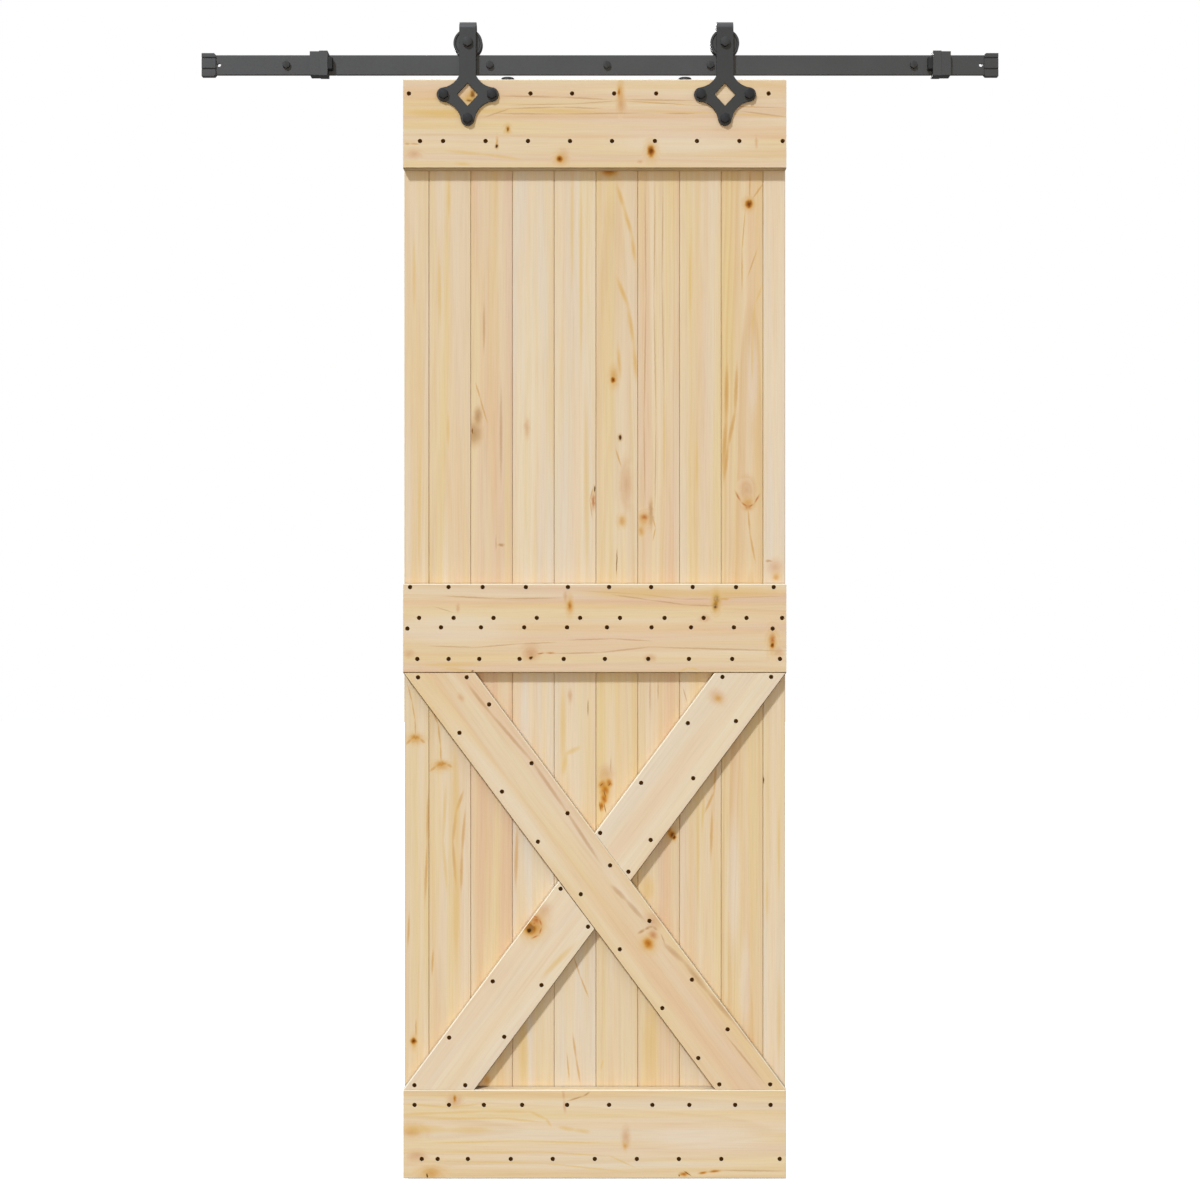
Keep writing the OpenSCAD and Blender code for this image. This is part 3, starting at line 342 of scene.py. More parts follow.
# Grain lines: kind, half width in mm, and the places in the photograph that the line runs through
LINES = {
    "plank_01": [("line", 1.3, (408, 686), (412, 702), (415, 720), (415.6, 735)),
                 ("line", 2.4, (415.5, 736), (411, 739.5), (406.5, 744)),
                 ("line", 2.4, (415.5, 736), (420, 739), (425, 743)), ("line", 2.0, (409, 915), (408, 945)),
                 ("line", 1.6, (416, 1020), (416, 1036)),
                 ("line", 2.6, (428, 796), (427.5, 844), (425, 900)), ("gold", 3.0, (414, 240), (414, 308)),
                 ("gold", 3.0, (420, 452), (419, 570))],
    "plank_02": [("line", 1.6, (432, 711), (438, 724), (440.6, 746), (441, 761)),
                 ("line", 2.6, (441.5, 763), (436, 766.5), (430, 771)),
                 ("line", 2.4, (441.5, 763), (447, 764), (452, 767)),
                 ("line", 2.8, (465, 812), (462, 852), (461, 890)),
                 ("line", 3.0, (463, 792), (456, 812), (453, 842), (456, 885)),
                 ("gold", 3.0, (446, 786), (443, 840), (447, 890)),
                 ("gold", 6.0, (455, 745), (457, 850), (456, 960)), ("line", 2.0, (433, 950), (432, 974)),
                 ("gold", 3.0, (449, 180), (449, 216)), ("gold", 3.0, (439, 260), (440, 320)),
                 ("gold", 3.0, (448, 415), (448, 445))],
    "plank_03": [("line", 1.5, (476, 384), (480, 398), (487, 422)), ("brown", 2.5, (484, 306), (484, 350)),
                 ("brown", 2.6, (501, 390), (501, 480)), ("brown", 1.0, (496, 536), (496, 550))],
    "plank_04": [("line", 3.5, (517, 830), (515.5, 885)), ("gold", 9.0, (523, 1020), (523, 1085))],
    "plank_05": [("gold", 5.0, (563, 690), (563, 760)), ("gold", 3.0, (572, 180), (572, 280)),
                 ("gold", 3.0, (581, 180), (581, 360)), ("line", 1.2, (593, 488), (590, 500), (592, 517)),
                 ("gold", 5.0, (586, 400), (587, 575)), ("gold", 4.5, (563, 774), (566, 754), (580, 747)),
                 ("vein", 0.8, (588, 700), (588, 716)), ("line", 1.6, (574, 958), (580, 976), (588, 996)),
                 ("line", 2.0, (573, 1036), (576, 1058), (580, 1082)),
                 ("line", 1.4, (567, 1054), (569, 1078))],
    "plank_06": [("flame", 4.0, (617, 186), (624, 208), (632, 236), (635, 262)),
                 ("flame", 4.4, (617, 278), (628, 306), (634, 346), (636.5, 380)),
                 ("flame", 3.6, (618, 346), (620, 376)), ("line", 1.6, (616, 450), (621, 466)),
                 ("vein", 1.0, (617, 550), (616.6, 574)), ("brown", 0.9, (611, 758), (610.5, 772)),
                 ("vein", 0.9, (600, 786), (603, 783)), ("vein", 0.8, (608, 786), (611, 782.5)),
                 ("vein", 0.8, (603.5, 790), (606, 798)), ("vein", 0.8, (599.5, 801.5), (600.5, 811.5)),
                 ("vein", 0.8, (604, 803), (606, 813)), ("gold", 2.0, (603, 1060), (601, 1069))],
    "plank_07": [("brown", 1.4, (645, 185), (646, 300), (644, 420), (645, 500)),
                 ("brown", 1.2, (655, 190), (654, 300), (656, 420), (655, 510)),
                 ("brown", 1.1, (663, 190), (662, 280), (664, 390)), ("gold", 2.0, (664, 396), (664, 480)),
                 ("line", 1.2, (653, 518), (655.5, 528), (653, 540)),
                 ("brown", 1.4, (650, 676), (650, 712)), ("brown", 1.3, (658, 680), (658, 700)),
                 ("gold", 11.0, (648, 876), (648, 900)), ("gold", 11.0, (650, 1000), (650, 1084))],
    "plank_08": [("gold", 3.0, (698, 800), (698, 912)), ("gold", 2.5, (690, 244), (690, 316)),
                 ("gold", 2.5, (697, 440), (697, 492)), ("brown", 1.2, (683, 688), (687, 702)),
                 ("line", 2.4, (716, 766), (714, 792), (705, 812)), ("line", 2.6, (712, 812), (711, 855)),
                 ("gold", 2.5, (704, 796), (702, 828))],
    "plank_09": [("line", 1.5, (750, 172), (749.5, 198)), ("line", 1.8, (763, 184), (753, 198)),
                 ("line", 1.2, (745, 212), (742, 250), (742, 290)), ("line", 1.2, (757, 250), (748, 276)),
                 ("gold", 2.2, (763, 284), (755, 304), (752, 332), (752, 380)),
                 ("line", 4.0, (727, 366), (726, 420), (723, 470)),
                 ("line", 3.4, (737, 366), (735, 412), (728, 446), (724, 480)),
                 ("rust", 2.4, (735, 491), (741, 502), (748, 507), (754, 504), (760, 494)),
                 ("line", 1.9, (748, 509), (750, 534), (755, 561))],
    "plank_10": [("gold", 4.0, (779, 980), (779, 1060)), ("gold", 2.6, (767, 880), (767, 918)),
                 ("gold", 2.4, (779, 812), (779, 885))],
    "top_board": [("line", 1.8, (404.5, 143.7), (410, 143.7), (419, 144)),
                  ("gold", 5.0, (410, 113), (520, 110), (600, 112)), ("gold", 3.0, (420, 99), (500, 98)),
                  ("brown", 1.0, (513, 105), (570, 104), (617, 101)),
                  ("line", 1.2, (624, 101), (690, 105), (786, 108)),
                  ("gold", 2.4, (640, 111), (720, 113), (786, 117)),
                  ("gold", 3.0, (455, 163.5), (470, 164.5)), ("gold", 8.0, (404, 112), (470, 116)),
                  ("brown", 1.6, (499, 96), (560, 97), (607, 99.5)),
                  ("brown", 1.5, (626, 99.7), (692, 100.5)),
                  ("brown", 1.5, (485, 117), (510, 108.5), (560, 107), (600, 108.5)),
                  ("brown", 1.4, (495, 113.5), (560, 114), (640, 113)),
                  ("brown", 1.5, (740, 111), (786, 117)), ("brown", 1.4, (665, 113.5), (695, 113.5)),
                  ("gold", 3.0, (448, 151), (482, 154), (520, 159))],
    "middle_board": [("brown", 0.9, (583, 591), (640, 594), (680, 599), (712, 599)),
                     ("brown", 0.9, (722, 598), (786, 596)),
                     ("rust", 2.0, (536, 654), (545, 653), (556, 653)),
                     ("brown", 0.8, (435, 607), (452, 612)), ("gold", 3.0, (443, 668), (470, 671)),
                     ("gold", 2.0, (680, 671), (688, 668), (700, 670)),
                     ("gold", 10.0, (590, 593), (690, 593), (786, 591)),
                     ("gold", 4.0, (425, 665), (480, 664)),
                     ("brown", 1.5, (445, 596), (500, 598.7), (560, 598)),
                     ("brown", 1.4, (615, 595), (650, 600), (687, 605), (720, 606)),
                     ("brown", 1.2, (430, 646), (475, 647.5), (520, 643.7), (555, 642.5)),
                     ("brown", 1.3, (570, 640), (612, 638.7), (650, 641)),
                     ("brown", 1.6, (555, 653.7), (600, 652.5), (650, 647), (786, 651))],
    "bottom_board": [("blush", 3.4, (563, 1090), (564, 1100), (565.3, 1113)),
                     ("bruise", 1.8, (568, 1100.7), (583, 1096.3), (590, 1092)),
                     ("gold", 2.6, (404, 1114), (440, 1113), (486, 1111), (530, 1111.5), (546, 1119),
                      (551, 1126)),
                     ("gold", 2.2, (430, 1119), (500, 1118), (540, 1122)),
                     ("gold", 4.0, (559, 1127), (575, 1130), (590, 1132)),
                     ("gold", 7.0, (404, 1128), (450, 1130), (490, 1130)),
                     ("gold", 1.8, (433, 1143), (520, 1141), (600, 1143)),
                     ("gold", 1.6, (440, 1152), (540, 1152), (610, 1156), (634, 1167)),
                     ("gold", 1.6, (430, 1161), (540, 1163), (620, 1171)),
                     ("orange", 3.0, (698, 1173.5), (708, 1172), (721, 1170.5)),
                     ("vein", 1.0, (684, 1171), (691, 1176)), ("brown", 1.6, (721, 1170.5), (786, 1171)),
                     ("gold", 2.0, (404, 1104), (450, 1107), (480, 1104))],
    "long_brace": [("brown", 3.2, (469, 686), (491, 714), (531, 760), (567, 812), (598, 860)),
                   ("bruise", 3.0, (638, 933.5), (645, 929.5), (650, 926.5)),
                   ("brown", 2.4, (649, 927), (653, 926.5), (657, 930)),
                   ("brown", 1.4, (661, 934), (665, 944)),
                   ("brown", 5.0, (664, 944), (684, 962), (708, 992), (736, 1024), (764, 1056)),
                   ("brown", 4.2, (612, 886), (626, 900), (643, 919)),
                   ("brown", 2.0, (728, 1038), (762, 1080))],
    "lower_half_brace": [("rust", 2.2, (532, 915.5), (539, 918), (542, 926.5), (539, 935), (531, 938.5)),
                         ("gold", 5.0, (573, 946), (543, 976))],
}

# Noise along the grain: length and width in mm, seed, detail. Fibres are drawn coarser than real ones, so
# that they show. Grain sways by SWAY_BY mm, and the rims of spots and lines by the two frays.
SWAY, SWAY_BY = (420.0, 80.0, 0.0, 2.0), 13.0
FRAY, FRAY_BY, LINE_FRAY_BY = (7.0, 7.0, 3.0, 1.0), 4.5, 1.5
PALE = (1100.0, 26.0, 11.0, 2.0)
STREAKS = [(YELLOW, (700.0, 15.0, 13.0, 1.5)), (ROSE, (900.0, 30.0, 17.0, 1.5)),
           (GREY, (600.0, 24.0, 19.0, 1.5))]
FIBRE = (90.0, 2.2, 23.0, 3.0)
BRACE_BREADTH = 1.8
SEED_STEP = 7.3
NOISE_ROUGH = 0.55
NOISE_MIDDLE = (0.5, 0.5, 0.5)

# Parts of the noise that show, and how strongly
PALE_SPAN, PALE_BY = (0.28, 0.72), 0.45
STREAK_SPAN = (0.40, 0.66)
FIBRE_SPAN, FIBRE_BY = (0.45, 0.75), 0.45
WIDE_SPAN = (0.3, 0.7)

# Growth rings: unevenness of their widths, share of late wood from one growth line to the next, the weakest
# year's share of it, and its height over the fibres
UNEVEN, UNEVEN_BY = 0.35, 3.0
BANDS = [(0.0, 0.0), (0.35, 0.12), (0.80, 1.0), (0.90, 0.75), (1.0, 0.0)]
WEAK_YEAR = 0.25
LATE_RELIEF = 0.5
PINE_BUMP, PINE_RELIEF = 0.25, 0.4

# Arrises: the way that the ones with a painted highlight face, the part of the turn that is highlighted, the
# highlight's share on faces that don't look forward, and the tilts between which the lower ones get painted
# shade
PAINTED_LIGHT_SIDE = (-0.12, 0.0, 0.99)
FORWARD = (0, -1, 0)
HIGHLIGHT_SPAN, HIGHLIGHT_BY = (0.06, 0.36), 0.85
FORWARD_SPAN, SIDE_HIGHLIGHT_SHARE = (0.0, 0.3), 0.35
BELOW_SHADE_STOPS = [(0.04, WHITE), (0.11, LOWER_ARRIS_SHADE), (0.32, LOWER_ARRIS_SHADE), (0.44, WHITE)]


def pine(name, number):
    """Pine for one piece, with its own grain, tone and knots."""
    turn, pale, yellow, rose, grey, (pith_v, pith_d, lean, climb, ring_w, late) = TIMBER[name]
    breadth = BRACE_BREADTH if "brace" in name else 1.0
    low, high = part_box(name)
    middle = (low + high) / 2
    middle.y = low.y
    material, tree, shader = new_material("pine_" + name)
    coords = add(tree, "ShaderNodeTexCoord")
    grain = add(tree, "ShaderNodeMapping", {"vector_type": "TEXTURE"}, Vector=coords.outputs["Object"],
                Location=middle, Rotation=(0, turn, 0), Scale=(MM, MM, MM)).outputs[0]

    def noise(long, wide, seed, detail):
        wide *= breadth
        sized = add(tree, "ShaderNodeMapping", Vector=grain, Scale=(1 / long, 1 / wide, 1 / wide)).outputs[0]
        return add(tree, "ShaderNodeTexNoise", {"noise_dimensions": "4D"}, Vector=sized,
                   W=seed + SEED_STEP * number, Scale=1.0, Detail=detail, Roughness=NOISE_ROUGH)

    def along_grain(px, py):
        """Where a place in the photograph lies along and across the grain, in mm."""
        spot = (from_pixel(px, py, low.y) - middle) / MM
        return Matrix.Rotation(-turn, 3, "Y") @ spot

    def away_from(place, centre, axes):
        """Distance from a centre, in the directions and scales of two axes."""
        one, other = (vectors(tree, "DOT_PRODUCT", place, axis) for axis in axes)
        spot = add(tree, "ShaderNodeCombineXYZ", X=one, Y=other).outputs[0]
        return vectors(tree, "DISTANCE", spot, (axes[0].dot(centre), axes[1].dot(centre), 0))

    def mark(place, centre, run, long, wide):
        """Distance from a mark's middle, one at its rim. Run is the way it lies in."""
        run = run.normalized()
        return away_from(place, centre, (run / long, Vector((-run.z, 0, run.x)) / wide))

    sway = vectors(tree, "SUBTRACT", noise(*SWAY).outputs["Color"], NOISE_MIDDLE)
    bent = vectors(tree, "MULTIPLY_ADD", sway, (0, SWAY_BY, SWAY_BY), grain)
    fray = vectors(tree, "SUBTRACT", noise(*FRAY).outputs["Color"], NOISE_MIDDLE)
    frayed = vectors(tree, "MULTIPLY_ADD", fray, (FRAY_BY, 0, FRAY_BY), grain)
    line_frayed = vectors(tree, "MULTIPLY_ADD", fray, (LINE_FRAY_BY, 0, LINE_FRAY_BY), grain)

    # Growth rings about the pith, pushed aside by the knots
    tilts = Euler((0, math.radians(lean), math.radians(climb))).to_matrix()
    radius = away_from(bent, Vector((0, pith_d, pith_v)), (tilts.col[1] / ring_w, tilts.col[2] / ring_w))
    stains = []
    for kind, px, py, long, wide in SPOTS.get(name, []):
        away = mark(frayed, along_grain(px, py), ALONG_GRAIN, SPOT_REACH * long, SPOT_REACH * wide)
        stains.append((kind, away))
        if kind in PUSHING and wide > PUSHING_WIDTH:
            push = spread(tree, away, (0.0, 1.0), (SPOT_REACH * wide / ring_w, 0.0), "SMOOTHSTEP")
            radius = maths(tree, "ADD", radius, push)
    for kind, half_w, *path in LINES.get(name, []):
        places = [along_grain(*place) for place in path]
        for start, end in zip(places, places[1:]):
            run = end - start
            away = mark(line_frayed, (start + end) / 2, run, LINE_REACH * run.length / 2, LINE_REACH * half_w)
            stains.append((kind, away))
    uneven = add(tree, "ShaderNodeTexNoise", {"noise_dimensions": "1D"}, W=radius, Scale=UNEVEN,
                 Detail=1.0).outputs[0]
    ring = maths(tree, "MULTIPLY_ADD", uneven, UNEVEN_BY, radius)
    phase = maths(tree, "FRACT", ring)
    count = maths(tree, "FLOOR", ring)
    year = add(tree, "ShaderNodeTexWhiteNoise", {"noise_dimensions": "1D"}, W=count).outputs["Value"]
    bands = add(tree, "ShaderNodeValToRGB", Fac=phase,
                stops=[(place, (1, 1, 1, share)) for place, share in BANDS]).outputs["Alpha"]
    strength = spread(tree, year, (0.0, 1.0), (WEAK_YEAR * late, late))
    late_share = maths(tree, "MULTIPLY", bands, strength)

    # Broad soft streaks, then the growth lines, the fibres and the marks
    pale_share = spread(tree, noise(*PALE).outputs["Fac"], PALE_SPAN, (pale - PALE_BY, pale + PALE_BY))
    colour = mixed(tree, pale_share, HONEY, CREAM)
    for most, (tone, sizes) in zip((yellow, rose, grey), STREAKS):
        share = spread(tree, noise(*sizes).outputs["Fac"], STREAK_SPAN, (0.0, most), "SMOOTHSTEP")
        colour = mixed(tree, share, colour, tone)
    colour = mixed(tree, late_share, colour, LATE_WOOD)
    fibre = noise(*FIBRE).outputs["Fac"]
    fibre_share = spread(tree, fibre, FIBRE_SPAN, (0.0, FIBRE_BY))
    colour = mixed(tree, fibre_share, colour, FIBRE_SHADE, "MULTIPLY")
    for kind, away in stains:
        stops = [(place, linear(code, share)) for place, code, share in MARKS[kind]]
        tint = add(tree, "ShaderNodeValToRGB", Fac=away, stops=stops)
        colour = mixed(tree, tint.outputs["Alpha"], colour, tint.outputs["Color"])

    # Painted shade where pieces meet, from occlusion, then the painted highlight and shade on the arrises
    for reach, shade in ((CREASE_SHADE_REACH, CREASE_SHADE), (CORNER_SHADE_REACH, CORNER_SHADE)):
        occlusion = add(tree, "ShaderNodeAmbientOcclusion", {"samples": SHADE_RAYS}, Distance=reach * MM)
        colour = mixed(tree, 1.0, colour, mixed(tree, occlusion.outputs["AO"], shade, WHITE), "MULTIPLY")
    # Painted highlight: arrises turned toward the light are mixed toward a pale colour
    facing = vectors(tree, "DOT_PRODUCT", coords.outputs["Normal"], PAINTED_LIGHT_SIDE)
    arris_highlight = spread(tree, facing, HIGHLIGHT_SPAN, (0.0, HIGHLIGHT_BY))
    forward = vectors(tree, "DOT_PRODUCT", coords.outputs["Normal"], FORWARD)
    rounded = spread(tree, forward, FORWARD_SPAN, (SIDE_HIGHLIGHT_SHARE, 1.0))
    colour = mixed(tree, maths(tree, "MULTIPLY", arris_highlight, rounded), colour, ARRIS_HIGHLIGHT)
    # Painted shade: arrises and faces that look down are darkened
    tilt = spread(tree, facing, (-1.0, 1.0))
    painted_below_shade = add(tree, "ShaderNodeValToRGB", Fac=tilt, stops=BELOW_SHADE_STOPS).outputs["Color"]
    colour = mixed(tree, 1.0, colour, painted_below_shade, "MULTIPLY")

    tree.links.new(colour, shader.inputs["Base Color"])
    shader.inputs["Specular IOR Level"].default_value = BARE_GLOSS
    tree.links.new(spread(tree, fibre, WIDE_SPAN, BARE_ROUGH), shader.inputs["Roughness"])
    relief = maths(tree, "MULTIPLY_ADD", late_share, LATE_RELIEF, fibre)
    bump = add(tree, "ShaderNodeBump", Height=relief, Strength=PINE_BUMP, Distance=PINE_RELIEF * MM)
    tree.links.new(bump.outputs[0], shader.inputs["Normal"])
    return material


for number, name in enumerate(TIMBER):
    dress([name], pine(name, number))

# Powder-coated steel: a matt dark grey film, even in colour, with the fine orange peel of baked powder.
# The peel is drawn about twice as coarse as it is, so that it shows.
PEEL = 1.6
FILM_CLOUD = 60.0
GLOSS, DULL = 0.5, 0.2
ROUGH_BY = 0.08
GRIT_BUMP = 0.4


def finish(name, code, metallic, rough, cloud_mm, cloud_by, grit_mm, grit_relief, gloss=GLOSS, upper=None):
    """Material of one clouded colour with a gritty or peeled surface, with a painted highlight on top where
    upper is given.
    """
    material, tree, shader = new_material(name)
    coords = add(tree, "ShaderNodeTexCoord")
    place = coords.outputs["Object"]
    cloud = add(tree, "ShaderNodeTexNoise", Vector=place, Scale=1 / (cloud_mm * MM), Detail=3.0)
    tone = spread(tree, cloud.outputs["Fac"], WIDE_SPAN, (1 - cloud_by, 1 + cloud_by))
    colour = add(tree, "ShaderNodeVectorMath", {"operation": "SCALE"}, _0=linear(code)[:3],
                 Scale=tone).outputs[0]
    # Painted highlight: faces that look up are mixed toward the paler upper colour
    if upper:
        facing = add(tree, "ShaderNodeSeparateXYZ", Vector=coords.outputs["Normal"]).outputs["Z"]
        colour = mixed(tree, spread(tree, facing, (0.0, 1.0)), colour, linear(upper))
    tree.links.new(colour, shader.inputs["Base Color"])
    shader.inputs["Metallic"].default_value = metallic
    shader.inputs["Specular IOR Level"].default_value = gloss
    grit = add(tree, "ShaderNodeTexNoise", Vector=place, Scale=1 / (grit_mm * MM), Detail=2.0).outputs["Fac"]
    dull = spread(tree, grit, WIDE_SPAN, (rough - ROUGH_BY, rough + ROUGH_BY))
    tree.links.new(dull, shader.inputs["Roughness"])
    bump = add(tree, "ShaderNodeBump", Height=grit, Strength=GRIT_BUMP, Distance=grit_relief * MM)
    tree.links.new(bump.outputs[0], shader.inputs["Normal"])
    return material


rail_coat = finish("powder_coated_steel", "#3D3D3D", 0.0, 0.55, FILM_CLOUD, 0.06, PEEL, 0.12)
# The strap's faces that look up get a painted highlight, as the bend over the wheel catches the light
hanger_coat = finish("powder_coated_strap_steel", "#272727", 0.0, 0.50, FILM_CLOUD, 0.06, PEEL, 0.12,
                     upper="#6A6A6A")
# Black-oxide steel: a thin near-black film with a dull sheen, greyer on the axles and on the rail's bolts
oxide = finish("black_oxide_steel", "#2C2C2D", 0.0, 0.60, 12.0, 0.12, 1.2, 0.05, DULL)
grey_oxide = finish("grey_oxide_steel", "#3E3E3E", 0.0, 0.60, 12.0, 0.10, 1.2, 0.05, DULL)
# Moulded nylon: dark grey, smooth, with a soft broad shine
nylon = finish("moulded_nylon", "#343434", 0.0, 0.45, 30.0, 0.05, 1.0, 0.03)
cap_nylon = finish("moulded_cap_nylon", "#3B3B3B", 0.0, 0.45, 30.0, 0.05, 1.0, 0.03)
# Phosphated screw steel: brown-black and dull
phosphate = finish("phosphated_screw_steel", "#452A0C", 0.0, 0.75, 6.0, 0.20, 1.0, 0.05, 0.03)
# Rubber: black and dull
rubber = finish("moulded_rubber", "#1C1C1C", 0.0, 0.75, 20.0, 0.10, 1.4, 0.10)
# Bright zinc on steel: pale grey metal, faintly clouded
zinc = finish("bright_zinc_steel", "#C4C8CC", 1.0, 0.30, 8.0, 0.08, 1.2, 0.03)

dress(["rail_bar", "wall_spacers"], rail_coat)
dress(["stop_set_screws", "left_retaining_ring", "right_retaining_ring"], oxide)
dress(["left_wheel", "right_wheel", "left_anti_jump_disc", "right_anti_jump_disc"], nylon)
dress([n for n in NODES if "bearing" in n or "cage" in n or "bush" in n], zinc)


def solids(name):
    """Lowest and highest corners of each separate solid of a CAD node."""
    mesh = NODES[name].data
    keys = [tuple(round(c, 6) for c in v.co) for v in mesh.vertices]
    home = {k: k for k in keys}

    def find(k):
        while home[k] != k:
            k = home[k]
        return k

    for face in mesh.polygons:
        first = find(keys[face.vertices[0]])
        for i in face.vertices[1:]:
            home[find(keys[i])] = first
    groups = {}
    for k in home:
        groups.setdefault(find(k), []).append(k)
    return sorted((tuple(map(min, zip(*g))), tuple(map(max, zip(*g)))) for g in groups.values())


def on_axes(boxes):
    """Where the middle line of each box meets the plane of X and Z."""
    return [((low[0] + high[0]) / 2, 0, (low[2] + high[2]) / 2) for low, high in boxes]


def settle(piece, name, material):
    """Gives a finished piece its material, and puts it in place of a CAD node on that node's body."""
    piece.data.materials.clear()
    piece.data.materials.append(material)
    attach(piece, NODES[name]["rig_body"])
    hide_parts(name)


def clear_selection():
    if bpy.context.mode != "OBJECT":
        bpy.ops.object.mode_set(mode="OBJECT")
    bpy.ops.object.select_all(action="DESELECT")


def only(piece):
    clear_selection()
    piece.select_set(True)
    bpy.context.view_layer.objects.active = piece


def apply(piece, kind, **settings):
    """Adds a modifier and applies it."""
    only(piece)
    modifier = piece.modifiers.new(kind.lower(), kind)
    for key, value in settings.items():
        setattr(modifier, key, value)
    bpy.ops.object.modifier_apply(modifier=modifier.name)


# Edges sharper than this are eased, flatter ones are shaded smooth, and nearly flat ones are dissolved
SHARP, SMOOTH, FLAT = math.radians(40), math.radians(35), math.radians(1)
SAME_PLACE = 1e-6


def smooth(piece):
    only(piece)
    bpy.ops.object.shade_smooth_by_angle(angle=SMOOTH)


def eased(name, width, material):
    """Copy of a CAD node with its sharp edges eased."""
    piece = bpy.data.objects.new(name + "_eased", NODES[name].data.copy())
    bpy.context.collection.objects.link(piece)
    only(piece)
    bpy.ops.object.mode_set(mode="EDIT")
    bpy.ops.mesh.select_all(action="SELECT")
    bpy.ops.mesh.remove_doubles(threshold=SAME_PLACE)
    bpy.ops.mesh.dissolve_limited(angle_limit=FLAT)
    bpy.ops.object.mode_set(mode="OBJECT")
    apply(piece, "BEVEL", width=width * MM, segments=2, limit_method="ANGLE", angle_limit=SHARP,
          harden_normals=False)
    smooth(piece)
    apply(piece, "WEIGHTED_NORMAL", weight=50, keep_sharp=True)
    settle(piece, name, material)


# Steel, caps and bumpers with eased edges; widths in mm
for side in ("left", "right"):
    eased(side + "_hanger", 0.5, hanger_coat)
    eased(side + "_stop", 0.6, rail_coat)
    eased(side + "_end_cap", 0.4, cap_nylon)
    eased(side + "_stop_bumper", 1.0, rubber)
eased("hanger_nuts", 0.4, zinc)


def turned(steps, sides):
    """Body turned about the Y axis, from its front: each step is a place along Y and a radius."""
    clear_selection()
    y, r = steps[0]
    bpy.ops.mesh.primitive_circle_add(vertices=sides, radius=r, fill_type="NGON", location=(0, y, 0),
                                      rotation=(math.pi / 2, 0, 0))
    bpy.ops.object.transform_apply(location=True, rotation=True, scale=True)
    body = bpy.context.object
    bpy.ops.object.mode_set(mode="EDIT")
    bpy.ops.mesh.select_all(action="SELECT")
    for next_y, next_r in steps[1:]:
        bpy.ops.mesh.extrude_region_move(TRANSFORM_OT_translate={"value": (0, next_y - y, 0)})
        share = next_r / r
        bpy.ops.transform.resize(value=(share, 1, share), center_override=(0, next_y, 0))
        y, r = next_y, next_r
    bpy.ops.mesh.select_all(action="SELECT")
    bpy.ops.mesh.normals_make_consistent(inside=False)
    bpy.ops.object.mode_set(mode="OBJECT")
    return body


def joined(pieces, name):
    """One object from several."""
    clear_selection()
    for piece in pieces:
        piece.select_set(True)
    bpy.context.view_layer.objects.active = pieces[0]
    if len(pieces) > 1:
        bpy.ops.object.join()
    pieces[0].name = name
    return pieces[0]


def cut(piece, tool, operation):
    apply(piece, "BOOLEAN", object=tool, operation=operation, solver="EXACT")
    bpy.data.objects.remove(tool)


def placed(model, spots, name, turns=None):
    """Copies of a model, each with its own mesh, moved to their spots and made one piece."""
    copies = []
    for i, spot in enumerate(spots):
        mesh = model.data.copy()
        mesh.transform(Matrix.Translation(spot) @ (turns[i] if turns else Matrix.Identity(4)))
        copies.append(bpy.data.objects.new(name, mesh))
        bpy.context.collection.objects.link(copies[-1])
    bpy.data.objects.remove(model)
    return joined(copies, name)


# Hexagon heads and nuts: the flat crown's share of their width, the slope of its turned-off corners, and how
# far past the corners the turning tool reaches, in mm
CROWN_SHARE = 0.95
CROWN_SLOPE = math.tan(math.radians(30))
CROWN_PAST = 0.3
CROWN_SIDES = 48


def hexagon(flats, front, back, rear_crown):
    """Hexagon head or nut along Y, its corners turned off in front and, for a nut, behind."""
    clear_selection()
    corner = flats / math.sqrt(3)
    bpy.ops.mesh.primitive_cylinder_add(vertices=6, radius=corner, depth=back - front,
                                        location=(0, (front + back) / 2, 0), rotation=(math.pi / 2, 0, 0))
    bpy.ops.object.transform_apply(location=True, rotation=True, scale=True)
    head = bpy.context.object
    inner = CROWN_SHARE * flats / 2
    depth = (corner - inner) * CROWN_SLOPE + CROWN_PAST * MM
    outer = corner + CROWN_PAST * MM / CROWN_SLOPE
    steps = [(front, inner), (front + depth, outer)]
    steps += [(back - depth, outer), (back, inner)] if rear_crown else [(back, outer)]
    cut(head, turned(steps, CROWN_SIDES), "INTERSECT")
    return head


THREAD_STEPS = 20


def thread(core, crest, pitch, front, turns):
    """Thread wound along Y on a core."""
    clear_selection()
    bpy.ops.mesh.primitive_circle_add(vertices=3, radius=crest - core, fill_type="NOTHING",
                                      location=(core, front, 0), rotation=(0, 0, -math.pi / 2))
    bpy.ops.object.transform_apply(location=True, rotation=True, scale=True)
    ridge = bpy.context.object
    apply(ridge, "SCREW", axis="Y", angle=2 * math.pi, screw_offset=pitch, iterations=turns,
          steps=THREAD_STEPS, render_steps=THREAD_STEPS)
    bpy.ops.object.mode_set(mode="EDIT")
    bpy.ops.mesh.select_all(action="SELECT")
    bpy.ops.mesh.fill_holes(sides=0)
    bpy.ops.mesh.select_all(action="SELECT")
    bpy.ops.mesh.normals_make_consistent(inside=False)
    bpy.ops.object.mode_set(mode="OBJECT")
    return ridge


# Bolts: radius, width across flats, height of the head and pitch in mm; then the length of the plain shank,
# the shank's share of the radius, the thread's depth as a share of the pitch, and the chamfer at the end
BOLT = (5.0, 17.0, 6.4, 1.5)
WALL_BOLT = (4.0, 13.0, 5.3, 1.25)
PLAIN, WALL_PLAIN = 30.0, 39.0
SHANK_SHARE, THREAD_SHARE = 0.9, 0.6
BOLT_END_L, BOLT_END_R = 1.0, 0.6
BOLT_SIDES = 24


